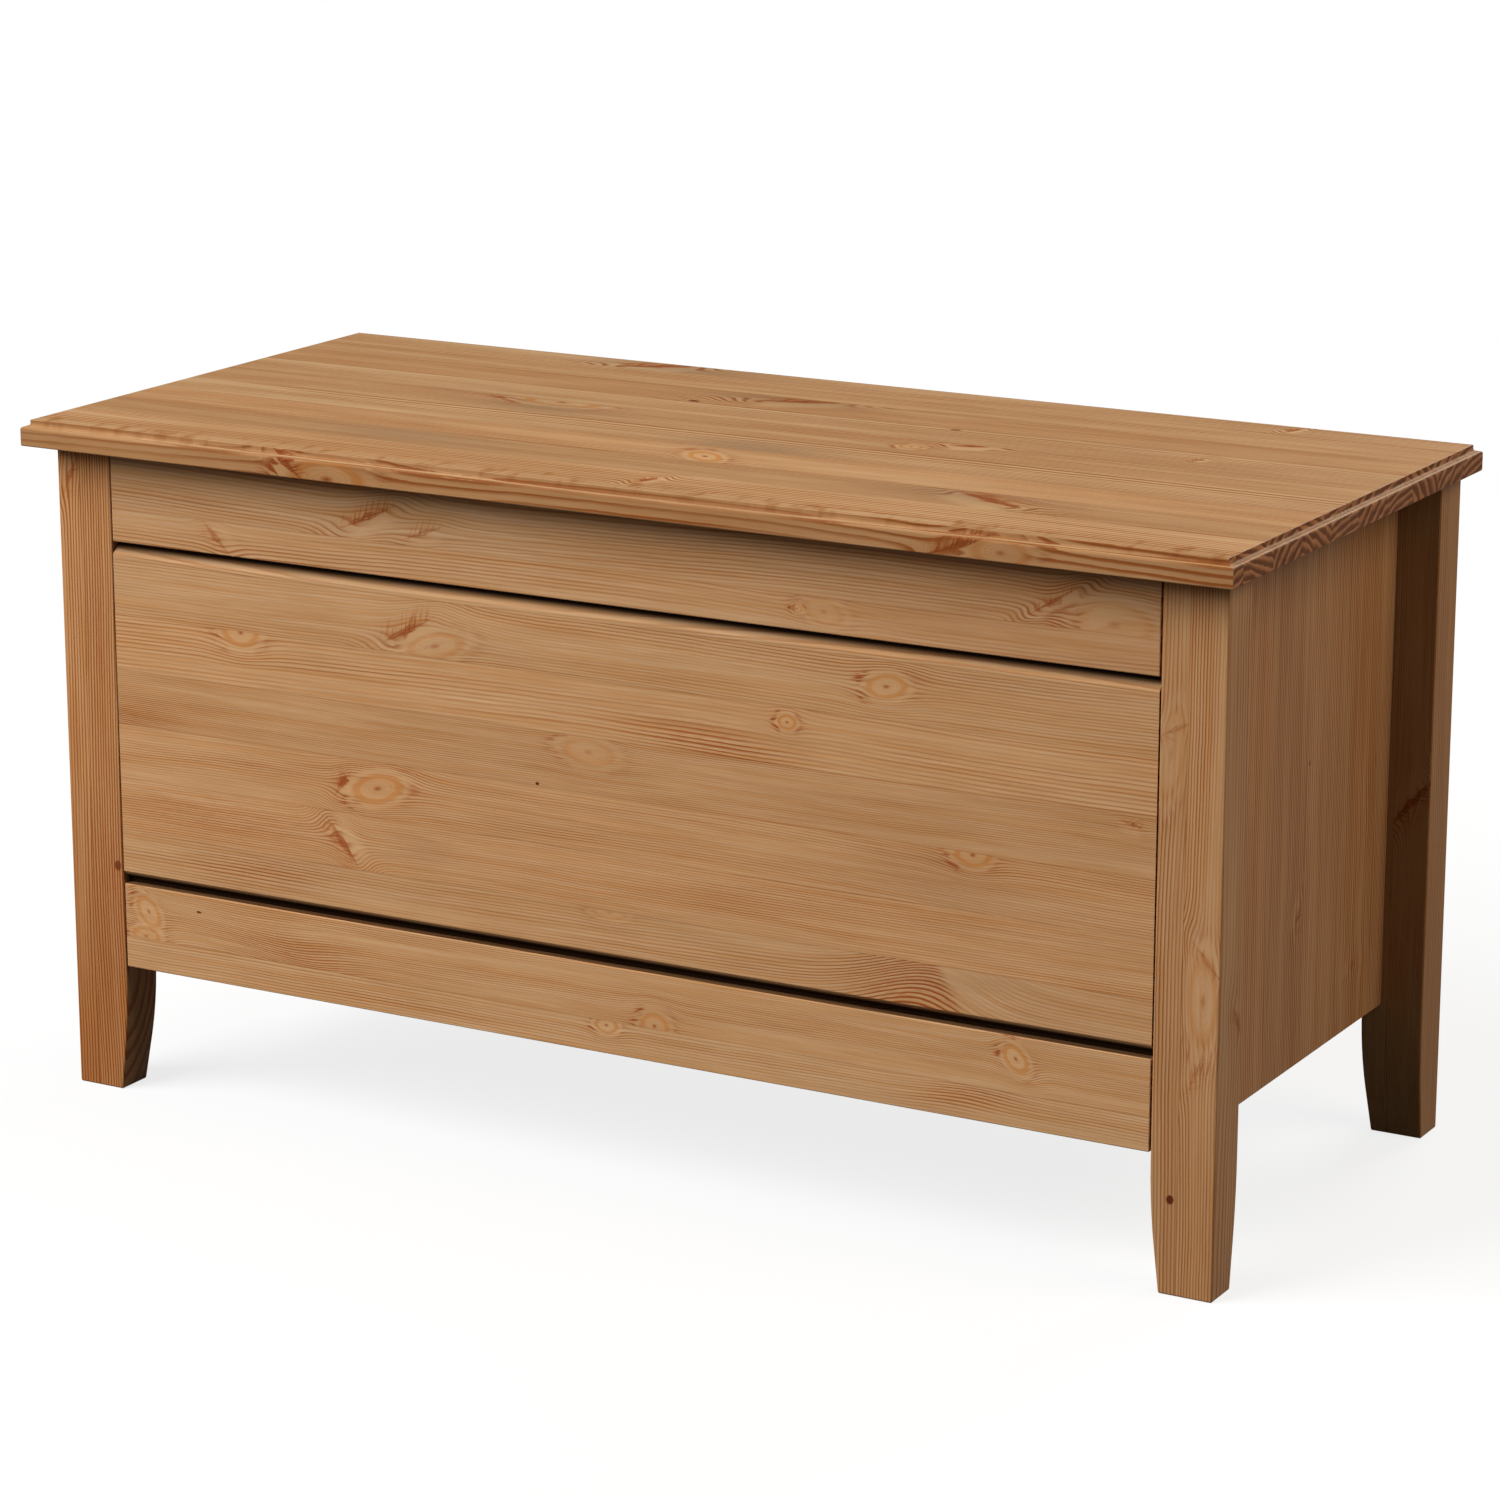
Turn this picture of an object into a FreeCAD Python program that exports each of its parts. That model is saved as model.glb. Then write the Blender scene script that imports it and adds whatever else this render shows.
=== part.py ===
import FreeCAD, Part
import math
import os
from types import SimpleNamespace

import Sketcher

# A linen chest of pine. Millimetres, +Z up, +X to the right, the front faces -Y.
# The origin is on the floor, under the middle of the lid.

# Driving dimensions: alias, and length in millimetres or angle in degrees
SIZES = [
    ("overall_height", "480"),
    ("lid_width", "900"),
    ("lid_depth", "410"),
    ("lid_thick", "18"),
    ("lid_angle", "95"),
    ("moulding_inset", "5"),
    ("moulding_drop", "4.5"),
    ("moulding_cove", "2.2"),
    ("moulding_round", "2"),
    ("lid_arris", "1"),
    ("lid_top_arris", "0.6"),
    ("overhang_side", "12"),
    ("overhang_front", "24"),
    ("overhang_rear", "6.5"),
    ("leg_width", "44"),
    ("leg_depth", "35"),
    ("leg_arris", "1.2"),
    ("foot_taper", "7"),
    ("taper_height", "58"),
    ("taper_bend", "28"),
    ("foot_arris", "1.5"),
    ("rail_thick", "20"),
    ("top_rail_height", "62.6"),
    ("bottom_rail_height", "61"),
    ("rail_rise", "92"),
    ("board_arris", "1"),
    ("board_gap", "0.8"),
    ("panel_gap", "3"),
    ("panel_bevel", "6"),
    ("tongue_thick", "6"),
    ("tongue_reach", "7"),
    ("fit_clearance", "0.2"),
    ("dowel_radius", "4"),
    ("dowel_length", "36"),
    ("dowel_inset", "16"),
    ("bore_clearance", "0.05"),
    ("side_recess", "30"),
    ("side_rise", "94"),
    ("back_panel_thick", "5"),
    ("floor_rise", "112"),
    ("floor_thick", "8"),
    ("floor_clearance", "0.8"),
    ("cleat_width", "18"),
    ("cleat_height", "16"),
    ("wood_screw_radius", "1.75"),
    ("wood_screw_head", "3.5"),
    ("wood_screw_sink", "1.9"),
    ("wood_screw_tip", "4"),
    ("wood_screw_bite", "10"),
    ("batten_inset", "164"),
    ("batten_width", "44"),
    ("batten_thick", "18"),
    ("batten_margin", "22"),
    ("batten_arris", "3"),
    ("hinge_inset", "94"),
    ("hinge_length", "60"),
    ("leaf_depth", "17"),
    ("leaf_thick", "1"),
    ("leaf_gap", "0.4"),
    ("knuckle_radius", "2.5"),
    ("knuckle_clearance", "0.3"),
    ("pin_radius", "1.25"),
    ("pin_clearance", "0.05"),
    ("fine_screw_radius", "1.5"),
    ("fine_screw_head", "2.6"),
    ("fine_screw_length", "14"),
    ("fine_screw_tip", "3"),
    ("bumper_radius", "6"),
    ("bumper_seat", "0.1"),
    ("stay_floor_clearance", "70"),
    ("stay_drop", "14"),
    ("stay_angle", "25"),
    ("stay_end_radius", "7"),
    ("stay_thick", "2"),
    ("stay_clearance", "0.3"),
    ("bracket_width", "20"),
    ("bracket_depth", "44"),
    ("stud_radius", "2.4"),
    ("stud_collar", "2.2"),
    ("stud_bite", "9"),
    ("rivet_radius", "2.5"),
    ("head_radius", "5"),
    ("head_thick", "1.6"),
    ("overrun", "4"),
]

KNUCKLES = 5
# Screw places, as shares of the half length of the piece that the screws hold
HINGE_SCREW_SHARES = (-0.7, 0, 0.7)
LONG_CLEAT_SCREW_SHARES = (-0.85, -0.3, 0.3, 0.85)
SHORT_CLEAT_SCREW_SHARES = (-0.7, 0.7)
BATTEN_SCREW_SHARES = (-0.8, 0, 0.8)
BRACKET_SCREW_SHARES = (-0.6, 0.6)
# Two coordinates are the same within this share of the overall height
SAME_PLACE_SHARE = 1e-6

RIGHT, LEFT = 1, -1
FRONT, REAR = -1, 1
SIDE_NAMES = {RIGHT: "right", LEFT: "left"}
FACE_NAMES = {FRONT: "front", REAR: "rear"}

doc = FreeCAD.newDocument("LinenChest")
sheet = doc.addObject("Spreadsheet::Sheet", "Sizes")
for row, (alias, number) in enumerate(SIZES, 1):
    sheet.set(f"A{row}", alias)
    sheet.set(f"B{row}", number)
    sheet.setAlias(f"B{row}", alias)
doc.recompute()


class Size:
    """A length, with the expression on the sheet that gives it."""

    def __init__(self, text, value):
        self.text = text
        self.value = float(value)

    def __add__(self, other):
        other = as_size(other)
        return Size(f"({self.text} + {other.text})", self.value + other.value)

    def __sub__(self, other):
        other = as_size(other)
        return Size(f"({self.text} - {other.text})", self.value - other.value)

    def __mul__(self, other):
        other = as_size(other)
        return Size(f"({self.text} * {other.text})", self.value * other.value)

    def __truediv__(self, other):
        other = as_size(other)
        return Size(f"({self.text} / {other.text})", self.value / other.value)

    def __neg__(self):
        return Size(f"(-1 * {self.text})", -self.value)

    __rmul__ = __mul__


def as_size(number):
    """A plain number as a Size."""
    return number if isinstance(number, Size) else Size(f"({number})", number)


def root(size):
    """The square root of a Size."""
    return Size(f"sqrt({size.text})", math.sqrt(size.value))


def sine(angle):
    """The sine of an angle in degrees."""
    return Size(f"sin({angle.text} * 1 deg)", math.sin(math.radians(angle.value)))


def cosine(angle):
    """The cosine of an angle in degrees."""
    return Size(f"cos({angle.text} * 1 deg)", math.cos(math.radians(angle.value)))


ZERO = as_size(0)
size = SimpleNamespace(**{alias: Size(f"Sizes.{alias}", sheet.get(alias)) for alias, number in SIZES})

# Heights
lid_bottom = size.overall_height - size.lid_thick
lid_gap = 2 * size.leaf_thick + size.leaf_gap
leg_height = lid_bottom - lid_gap
top_rail_low = leg_height - size.top_rail_height
bottom_rail_high = size.rail_rise + size.bottom_rail_height
panel_low = bottom_rail_high + size.panel_gap
panel_high = top_rail_low - size.panel_gap
tongue_low = bottom_rail_high - size.tongue_reach
tongue_high = top_rail_low + size.tongue_reach
cleat_low = size.floor_rise - size.cleat_height
floor_top = size.floor_rise + size.floor_thick
groove_depth = size.tongue_reach + size.fit_clearance

# Faces of the case: the legs' outer faces, and the planes that the boards share
case_side = size.lid_width / 2 - size.overhang_side
case_face = {FRONT: size.overhang_front - size.lid_depth / 2,
             REAR: size.lid_depth / 2 - size.overhang_rear}
inner_side = case_side - size.leg_width
side_thick = size.leg_width - size.side_recess
board_half = inner_side - size.board_gap
inner_face = {FRONT: case_face[FRONT] + size.rail_thick, REAR: case_face[REAR] - size.rail_thick}
inner_middle = (inner_face[FRONT] + inner_face[REAR]) / 2
inner_half = (inner_face[REAR] - inner_face[FRONT]) / 2
side_front = case_face[FRONT] + size.leg_depth
side_rear = case_face[REAR] - size.leg_depth
side_middle = (side_front + side_rear) / 2
side_half = (side_rear - side_front) / 2
long_cleat_half = inner_side - size.cleat_width - size.floor_clearance
short_cleat_half = inner_half - size.floor_clearance
batten_half = inner_half - size.batten_margin
batten_x = inner_side - size.batten_inset

# The line that the lid turns on, just behind the back rail and under the lid
hinge_y = case_face[REAR] + size.knuckle_radius + size.knuckle_clearance
hinge_z = lid_bottom - size.knuckle_radius - size.knuckle_clearance
leaf_edge = case_face[REAR] - size.leaf_depth
leaf_middle = case_face[REAR] - size.leaf_depth / 2
hinge_half = size.hinge_length / 2
hinge_x = inner_side - size.hinge_inset

# Each stay's pivot under the lid and its stud lie on one circle about the hinge line,
# so the arm turns by half of the lid's angle and slides along itself on the stud.
# The circle is as large as lets the arm hang clear of the floor when the lid is shut
pivot_z = hinge_z - size.stay_drop
arm_hang = pivot_z - floor_top - size.stay_floor_clearance - size.stay_end_radius - size.stay_clearance
half_turn = (size.stay_angle + size.lid_angle) / 2
half_angle = size.stay_angle / 2
stay_reach = (arm_hang / (2 * sine(half_turn)) + size.stay_drop * sine(half_angle)) / cosine(half_angle)
stay_circle = root(stay_reach * stay_reach + size.stay_drop * size.stay_drop)
stay_short = 2 * stay_circle * sine(half_angle)
stay_long = 2 * stay_circle * sine(half_turn)
pivot_y = hinge_y - stay_reach
stud_y = hinge_y - stay_reach * cosine(size.stay_angle) + size.stay_drop * sine(size.stay_angle)
stud_z = hinge_z - size.stay_drop * cosine(size.stay_angle) - stay_reach * sine(size.stay_angle)
# Distances of the stay's layers from the side panel, counted inwards
arm_outer = size.stud_collar + size.stay_clearance
arm_inner = arm_outer + size.stay_thick
ear_outer = arm_inner + size.stay_clearance
ear_inner = ear_outer + size.stay_thick
flange_middle = ear_outer + size.bracket_width / 2 + size.stay_thick / 2


def bind(thing, **bound):
    """Bind properties to the sheet; base_x stands for Placement.Base.x."""
    for name, bound_size in bound.items():
        path = f"Placement.Base.{name[-1]}" if name.startswith("base_") else name
        thing.setExpression(path, bound_size.text)


def new_body(label, x=ZERO, y=ZERO, z=ZERO):
    """A sub-part built from features, with its own origin at a place in the chest."""
    body = doc.addObject("PartDesign::Body", label)
    body.Label = label
    bind(body, base_x=x, base_y=y, base_z=z)
    return body


def span(sign, start, end):
    """Two distances along a signed direction, lower coordinate first."""
    return (start, end) if sign > 0 else (-end, -start)


def block(body, kind, name, x, y, z):
    """Add a block to a body, or cut one out of it, between pairs of coordinates."""
    feature = body.newObject(f"PartDesign::{kind}Box", name)
    bind(feature, Length=x[1] - x[0], Width=y[1] - y[0], Height=z[1] - z[0],
         base_x=x[0], base_y=y[0], base_z=z[0])
    doc.recompute()


def turn_to(direction):
    """The rotation that turns +Z to a direction."""
    return FreeCAD.Rotation(FreeCAD.Vector(0, 0, 1), FreeCAD.Vector(*direction))


def rod(body, kind, name, start, direction, radius, length):
    """Add a round rod to a body, or cut one out of it, from a point along a direction."""
    feature = body.newObject(f"PartDesign::{kind}Cylinder", name)
    feature.Placement = FreeCAD.Placement(FreeCAD.Vector(), turn_to(direction))
    bind(feature, Radius=radius, Height=length, base_x=start[0], base_y=start[1], base_z=start[2])
    doc.recompute()


def countersink(body, name, start, direction, head, shank, depth):
    """Cut the cone that a screw's head sits in."""
    feature = body.newObject("PartDesign::SubtractiveCone", name)
    feature.Placement = FreeCAD.Placement(FreeCAD.Vector(), turn_to(direction))
    bind(feature, Radius1=head, Radius2=shank, Height=depth,
         base_x=start[0], base_y=start[1], base_z=start[2])
    doc.recompute()


def edge_names(shape, test):
    """Names of the edges whose bounding box passes a test."""
    return [f"Edge{index}" for index, edge in enumerate(shape.Edges, 1) if test(edge.BoundBox)]


def soften(body, name, radius, test):
    """Round the edges of a body that pass a test."""
    base = body.Tip
    feature = body.newObject("PartDesign::Fillet", name)
    feature.Base = (base, edge_names(base.Shape, test))
    bind(feature, Radius=radius)
    doc.recompute()


def bevel(body, name, width, test):
    """Chamfer the edges of a body that pass a test."""
    base = body.Tip
    feature = body.newObject("PartDesign::Chamfer", name)
    feature.Base = (base, edge_names(base.Shape, test))
    bind(feature, Size=width)
    doc.recompute()


def at(coordinate, place):
    """Whether a coordinate lies at a place."""
    return abs(coordinate - place.value) <= SAME_PLACE_SHARE * size.overall_height.value


def level(box, place):
    """Whether an edge lies flat at one height."""
    return at(box.ZMin, place) and at(box.ZMax, place)


def wedge_cut(body, name, plane_role, points):
    """Cut an outline right through a body, both ways from one of its own planes."""
    sketch = body.newObject("Sketcher::SketchObject", f"{name}_outline")
    plane = next(feature for feature in body.Origin.OriginFeatures if feature.Role == plane_role)
    sketch.AttachmentSupport = [(plane, "")]
    sketch.MapMode = "FlatFace"
    corners = [FreeCAD.Vector(u.value, v.value, 0) for u, v in points]
    for index, corner in enumerate(corners):
        sketch.addGeometry(Part.LineSegment(corner, corners[(index + 1) % len(corners)]))
    for index in range(len(corners)):
        after = (index + 1) % len(corners)
        sketch.addConstraint(Sketcher.Constraint("Coincident", index, 2, after, 1))
    for index, (u, v) in enumerate(points):
        for kind, place in (("DistanceX", u), ("DistanceY", v)):
            number = sketch.addConstraint(Sketcher.Constraint(kind, -1, 1, index, 1, place.value))
            sketch.setExpression(f"Constraints[{number}]", place.text)
    doc.recompute()
    before = body.Shape.Volume
    pocket = body.newObject("PartDesign::Pocket", name)
    pocket.Profile = sketch
    pocket.Type = "ThroughAll"
    pocket.SideType = "Symmetric"
    doc.recompute()
    if body.Shape.Volume >= before:
        raise RuntimeError(f"{name} of {body.Label} cuts nothing")


def leg(side, face):
    """A square leg whose two inner faces taper at the foot."""
    into_x, into_y = -side, -face
    body = new_body(f"{FACE_NAMES[face]}_{SIDE_NAMES[side]}_leg", side * case_side, case_face[face], ZERO)
    block(body, "Additive", "post", span(into_x, ZERO, size.leg_width),
          span(into_y, ZERO, size.leg_depth), (ZERO, leg_height))
    slant = root(size.foot_taper * size.foot_taper + size.taper_height * size.taper_height)
    bend_radius = size.taper_bend * (slant + size.taper_height) / size.foot_taper
    for name, plane_role, into, breadth in (("across", "XZ_Plane", into_x, size.leg_width),
                                            ("along", "YZ_Plane", into_y, size.leg_depth)):
        wedge_cut(body, f"taper_{name}", plane_role, [
            (into * breadth, size.taper_height),
            (into * (breadth - size.foot_taper), ZERO),
            (into * (breadth + size.overrun), ZERO),
            (into * (breadth + size.overrun), size.taper_height)])
        soften(body, f"bend_{name}", bend_radius, lambda box: level(box, size.taper_height))
    soften(body, "arris", size.leg_arris, lambda box: box.ZLength > leg_height.value / 2)
    soften(body, "foot_edge", size.foot_arris, lambda box: level(box, ZERO))
    tongue_half = (size.tongue_thick if face == FRONT else size.back_panel_thick) / 2 + size.fit_clearance
    tongue_place = size.rail_thick / 2
    block(body, "Subtractive", "panel_groove",
          span(into_x, size.leg_width - groove_depth, size.leg_width + size.overrun),
          span(into_y, tongue_place - tongue_half, tongue_place + tongue_half),
          (tongue_low - size.fit_clearance, tongue_high + size.fit_clearance))
    side_tongue_half = size.tongue_thick / 2 + size.fit_clearance
    side_tongue_place = size.side_recess + side_thick / 2
    block(body, "Subtractive", "side_groove",
          span(into_x, side_tongue_place - side_tongue_half, side_tongue_place + side_tongue_half),
          span(into_y, size.leg_depth - groove_depth, size.leg_depth + size.overrun),
          (size.side_rise - size.fit_clearance, leg_height + size.overrun))
    for number, height in enumerate(dowel_heights()):
        rod(body, "Subtractive", f"dowel_hole_{number}",
            (into_x * size.leg_width, into_y * size.rail_thick / 2, height), (side, 0, 0),
            size.dowel_radius + size.bore_clearance, size.dowel_length / 2 + size.fit_clearance)


def dowel_heights():
    """Heights of the four dowels between one leg and its rails."""
    return (size.rail_rise + size.dowel_inset, bottom_rail_high - size.dowel_inset,
            top_rail_low + size.dowel_inset, leg_height - size.dowel_inset)


def rail(label, face, low, high, panel_thick, groove_at_top):
    """A rail between two legs, grooved for the panel and bored for dowels at its ends."""
    into_y = -face
    height = high - low
    body = new_body(label, ZERO, case_face[face], low)
    block(body, "Additive", "board", (-board_half, board_half),
          span(into_y, ZERO, size.rail_thick), (ZERO, height))
    soften(body, "arris", size.board_arris, lambda box: True)
    groove_half = panel_thick / 2 + size.fit_clearance
    if groove_at_top:
        groove_z = (height - groove_depth, height + size.overrun)
    else:
        groove_z = (-size.overrun, groove_depth)
    block(body, "Subtractive", "panel_groove",
          (-board_half - size.overrun, board_half + size.overrun),
          span(into_y, size.rail_thick / 2 - groove_half, size.rail_thick / 2 + groove_half), groove_z)
    for side in (RIGHT, LEFT):
        for number, place in enumerate((size.dowel_inset, height - size.dowel_inset)):
            rod(body, "Subtractive", f"{SIDE_NAMES[side]}_dowel_hole_{number}",
                (side * board_half, into_y * size.rail_thick / 2, place), (-side, 0, 0),
                size.dowel_radius + size.bore_clearance, size.dowel_length / 2 + size.fit_clearance)
    return body


def front_panel():
    """The front panel: bevelled edges, and a tongue on all four sides."""
    body = new_body("front_panel", ZERO, case_face[FRONT], panel_low)
    height = panel_high - panel_low
    block(body, "Additive", "board", (-board_half, board_half), (ZERO, size.rail_thick), (ZERO, height))
    bevel(body, "edge_bevel", size.panel_bevel,
          lambda box: at(box.YMax, ZERO) and box.XLength > board_half.value)
    soften(body, "bevel_arris", size.board_arris,
           lambda box: at(box.YMax, ZERO) and box.XLength > board_half.value)
    tongue_half = size.tongue_thick / 2
    block(body, "Additive", "tongue",
          (-inner_side - size.tongue_reach, inner_side + size.tongue_reach),
          (size.rail_thick / 2 - tongue_half, size.rail_thick / 2 + tongue_half),
          (tongue_low - panel_low, tongue_high - panel_low))


def back_panel():
    """The thin back panel, held in grooves all round."""
    body = new_body("back_panel", ZERO, case_face[REAR] - size.rail_thick / 2, tongue_low)
    block(body, "Additive", "sheet", (-inner_side - size.tongue_reach, inner_side + size.tongue_reach),
          (-size.back_panel_thick / 2, size.back_panel_thick / 2), (ZERO, tongue_high - tongue_low))


def side_panel(side):
    """A side panel of upright staves, with a tongue into each leg."""
    body = new_body(f"{SIDE_NAMES[side]}_side_panel", side * inner_side, side_middle, size.side_rise)
    height = leg_height - size.side_rise
    board_end = side_half - size.fit_clearance
    block(body, "Additive", "board", span(side, ZERO, side_thick), (-board_end, board_end), (ZERO, height))
    soften(body, "arris", size.board_arris, lambda box: level(box, ZERO) and box.YLength > board_end.value)
    tongue_half = size.tongue_thick / 2
    block(body, "Additive", "tongue",
          span(side, side_thick / 2 - tongue_half, side_thick / 2 + tongue_half),
          (-side_half - size.tongue_reach, side_half + size.tongue_reach), (ZERO, height))
    rod(body, "Subtractive", "stud_hole", (ZERO, stud_y - side_middle, stud_z - size.side_rise),
        (side, 0, 0), size.stud_radius + size.bore_clearance, size.stud_bite + size.fit_clearance)
    for number, share in enumerate(SHORT_CLEAT_SCREW_SHARES):
        screw_hole(body, f"cleat_hole_{number}",
                   (ZERO, inner_middle + share * short_cleat_half - side_middle,
                    cleat_low + size.cleat_height / 2 - size.side_rise), (side, 0, 0),
                   size.wood_screw_radius, size.wood_screw_bite)


def screw_hole(body, name, start, direction, radius, depth):
    """Cut the hole that a screw's point sits in."""
    rod(body, "Subtractive", name, start, direction, radius + size.bore_clearance,
        depth + size.fit_clearance)


def floor_panel():
    """The loose floor, which lies on the cleats."""
    body = new_body("floor_panel", ZERO, inner_middle, size.floor_rise)
    half_width = inner_side - size.floor_clearance
    block(body, "Additive", "sheet", (-half_width, half_width), (-short_cleat_half, short_cleat_half),
          (ZERO, size.floor_thick))


def screwed_through(body, name, start, direction, thickness):
    """Cut a countersunk hole for a wood screw through a cleat or batten."""
    countersink(body, f"{name}_sink", start, direction, size.wood_screw_head + size.bore_clearance,
                size.wood_screw_radius + size.bore_clearance, size.wood_screw_sink)
    rod(body, "Subtractive", f"{name}_hole", start, direction,
        size.wood_screw_radius + size.bore_clearance, thickness + size.overrun)


def long_cleat(face):
    """The cleat on a bottom rail."""
    into_y = -face
    body = new_body(f"{FACE_NAMES[face]}_floor_cleat", ZERO, inner_face[face], cleat_low)
    block(body, "Additive", "strip", (-long_cleat_half, long_cleat_half),
          span(into_y, ZERO, size.cleat_width), (ZERO, size.cleat_height))
    for number, share in enumerate(LONG_CLEAT_SCREW_SHARES):
        screwed_through(body, f"screw_{number}",
                        (share * long_cleat_half, into_y * size.cleat_width, size.cleat_height / 2),
                        (0, face, 0), size.cleat_width)


def short_cleat(side):
    """The cleat on a side panel."""
    body = new_body(f"{SIDE_NAMES[side]}_floor_cleat", side * inner_side, inner_middle, cleat_low)
    block(body, "Additive", "strip", span(-side, ZERO, size.cleat_width),
          (-short_cleat_half, short_cleat_half), (ZERO, size.cleat_height))
    for number, share in enumerate(SHORT_CLEAT_SCREW_SHARES):
        screwed_through(body, f"screw_{number}",
                        (-side * size.cleat_width, share * short_cleat_half, size.cleat_height / 2),
                        (side, 0, 0), size.cleat_width)


def lid_board():
    """The lid: a board with a stepped and coved moulding round its top edge."""
    body = new_body("lid_board", ZERO, ZERO, lid_bottom)
    half_width, half_depth = size.lid_width / 2, size.lid_depth / 2
    shoulder = size.lid_thick - size.moulding_drop
    block(body, "Additive", "slab", (-half_width, half_width), (-half_depth, half_depth), (ZERO, shoulder))
    field_x, field_y = half_width - size.moulding_inset, half_depth - size.moulding_inset
    block(body, "Additive", "field", (-field_x, field_x), (-field_y, field_y), (ZERO, size.lid_thick))

    def on_rim(box):
        return (at(abs(box.XMin), half_width) or at(abs(box.XMax), half_width)
                or at(abs(box.YMin), half_depth) or at(abs(box.YMax), half_depth))

    soften(body, "cove", size.moulding_cove, lambda box: level(box, shoulder) and not on_rim(box))
    soften(body, "bead", size.moulding_round, lambda box: level(box, shoulder) and on_rim(box))
    soften(body, "lower_arris", size.lid_arris, lambda box: level(box, ZERO))
    soften(body, "upper_arris", size.lid_top_arris, lambda box: level(box, size.lid_thick))
    for side in (RIGHT, LEFT):
        for number, share in enumerate(BATTEN_SCREW_SHARES):
            screw_hole(body, f"{SIDE_NAMES[side]}_batten_hole_{number}",
                       (side * batten_x, inner_middle + share * batten_half, ZERO), (0, 0, 1),
                       size.wood_screw_radius, size.wood_screw_bite)
        for number, (x, y) in enumerate(hinge_screw_places(side) + bracket_screw_places(side)):
            screw_hole(body, f"{SIDE_NAMES[side]}_fine_hole_{number}", (x, y, ZERO), (0, 0, 1),
                       size.fine_screw_radius, size.fine_screw_length)


def lid_batten(side):
    """A batten across the underside of the lid."""
    body = new_body(f"{SIDE_NAMES[side]}_lid_batten", side * batten_x, inner_middle, lid_bottom)
    half_width = size.batten_width / 2
    block(body, "Additive", "strip", (-half_width, half_width), (-batten_half, batten_half),
          (-size.batten_thick, ZERO))
    soften(body, "arris", size.batten_arris, lambda box: level(box, -size.batten_thick))
    for number, share in enumerate(BATTEN_SCREW_SHARES):
        screwed_through(body, f"screw_{number}", (ZERO, share * batten_half, -size.batten_thick),
                        (0, 0, 1), size.batten_thick)


def hinge_screw_places(side):
    """Places of the screws of one hinge leaf."""
    return [(side * hinge_x + share * hinge_half, leaf_middle) for share in HINGE_SCREW_SHARES]


def bracket_screw_places(side):
    """Places of the screws of one stay bracket."""
    return [(side * (inner_side - flange_middle), pivot_y + share * size.bracket_depth / 2)
            for share in BRACKET_SCREW_SHARES]


def hinge_leaf(side, label, plate_low, own_first, screw_start, screw_direction):
    """One leaf of a butt hinge: a plate that is notched round the other leaf's knuckles.

    The leaf has every second knuckle, from the one numbered own_first.
    """
    body = new_body(f"{SIDE_NAMES[side]}_{label}", side * hinge_x, hinge_y, hinge_z)
    low = plate_low - hinge_z
    block(body, "Additive", "plate", (-hinge_half, hinge_half), (leaf_edge - hinge_y, ZERO),
          (low, low + size.leaf_thick))
    pitch = size.hinge_length / KNUCKLES
    half_clearance = size.knuckle_clearance / 2
    others = [number for number in range(KNUCKLES) if number % 2 != own_first % 2]
    own = [number for number in range(KNUCKLES) if number % 2 == own_first % 2]
    for number in others:
        rod(body, "Subtractive", f"notch_{number}",
            (number * pitch - hinge_half - half_clearance, ZERO, ZERO), (1, 0, 0),
            size.knuckle_radius + size.knuckle_clearance, pitch + size.knuckle_clearance)
    for number in own:
        rod(body, "Additive", f"knuckle_{number}",
            (number * pitch - hinge_half + half_clearance, ZERO, ZERO), (1, 0, 0),
            size.knuckle_radius, pitch - size.knuckle_clearance)
    rod(body, "Subtractive", "pin_bore", (-hinge_half - size.overrun, ZERO, ZERO), (1, 0, 0),
        size.pin_radius + size.pin_clearance, size.hinge_length + 2 * size.overrun)
    for number, (x, y) in enumerate(hinge_screw_places(side)):
        countersink(body, f"screw_sink_{number}",
                    (x - side * hinge_x, y - hinge_y, screw_start - hinge_z), screw_direction,
                    size.fine_screw_head + size.bore_clearance,
                    size.fine_screw_radius + size.bore_clearance, size.leaf_thick)


def hinge_pin(side):
    """The pin that joins the two leaves of a hinge."""
    body = new_body(f"{SIDE_NAMES[side]}_hinge_pin", side * hinge_x, hinge_y, hinge_z)
    rod(body, "Additive", "pin", (-hinge_half, ZERO, ZERO), (1, 0, 0), size.pin_radius, size.hinge_length)


def stay_bracket(side):
    """The angle under the lid that a stay hangs from."""
    body = new_body(f"{SIDE_NAMES[side]}_stay_bracket", side * inner_side, pivot_y, pivot_z)
    top = lid_bottom - pivot_z
    half_depth = size.bracket_depth / 2
    block(body, "Additive", "flange", span(-side, ear_outer, ear_outer + size.bracket_width),
          (-half_depth, half_depth), (top - size.stay_thick, top))
    block(body, "Additive", "ear", span(-side, ear_outer, ear_inner),
          (-size.stay_end_radius, size.stay_end_radius), (ZERO, top))
    rod(body, "Additive", "ear_end", (-side * ear_outer, ZERO, ZERO), (-side, 0, 0),
        size.stay_end_radius, size.stay_thick)
    rod(body, "Subtractive", "rivet_bore", (ZERO, ZERO, ZERO), (-side, 0, 0),
        size.rivet_radius + size.bore_clearance, ear_inner + size.overrun)
    for number, (x, y) in enumerate(bracket_screw_places(side)):
        start = (x - side * inner_side, y - pivot_y, top - size.stay_thick)
        countersink(body, f"screw_sink_{number}", start, (0, 0, 1),
                    size.fine_screw_head + size.bore_clearance,
                    size.fine_screw_radius + size.bore_clearance, size.leaf_thick)
        rod(body, "Subtractive", f"screw_hole_{number}", start, (0, 0, 1),
            size.fine_screw_radius + size.bore_clearance, size.stay_thick + size.overrun)


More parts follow.
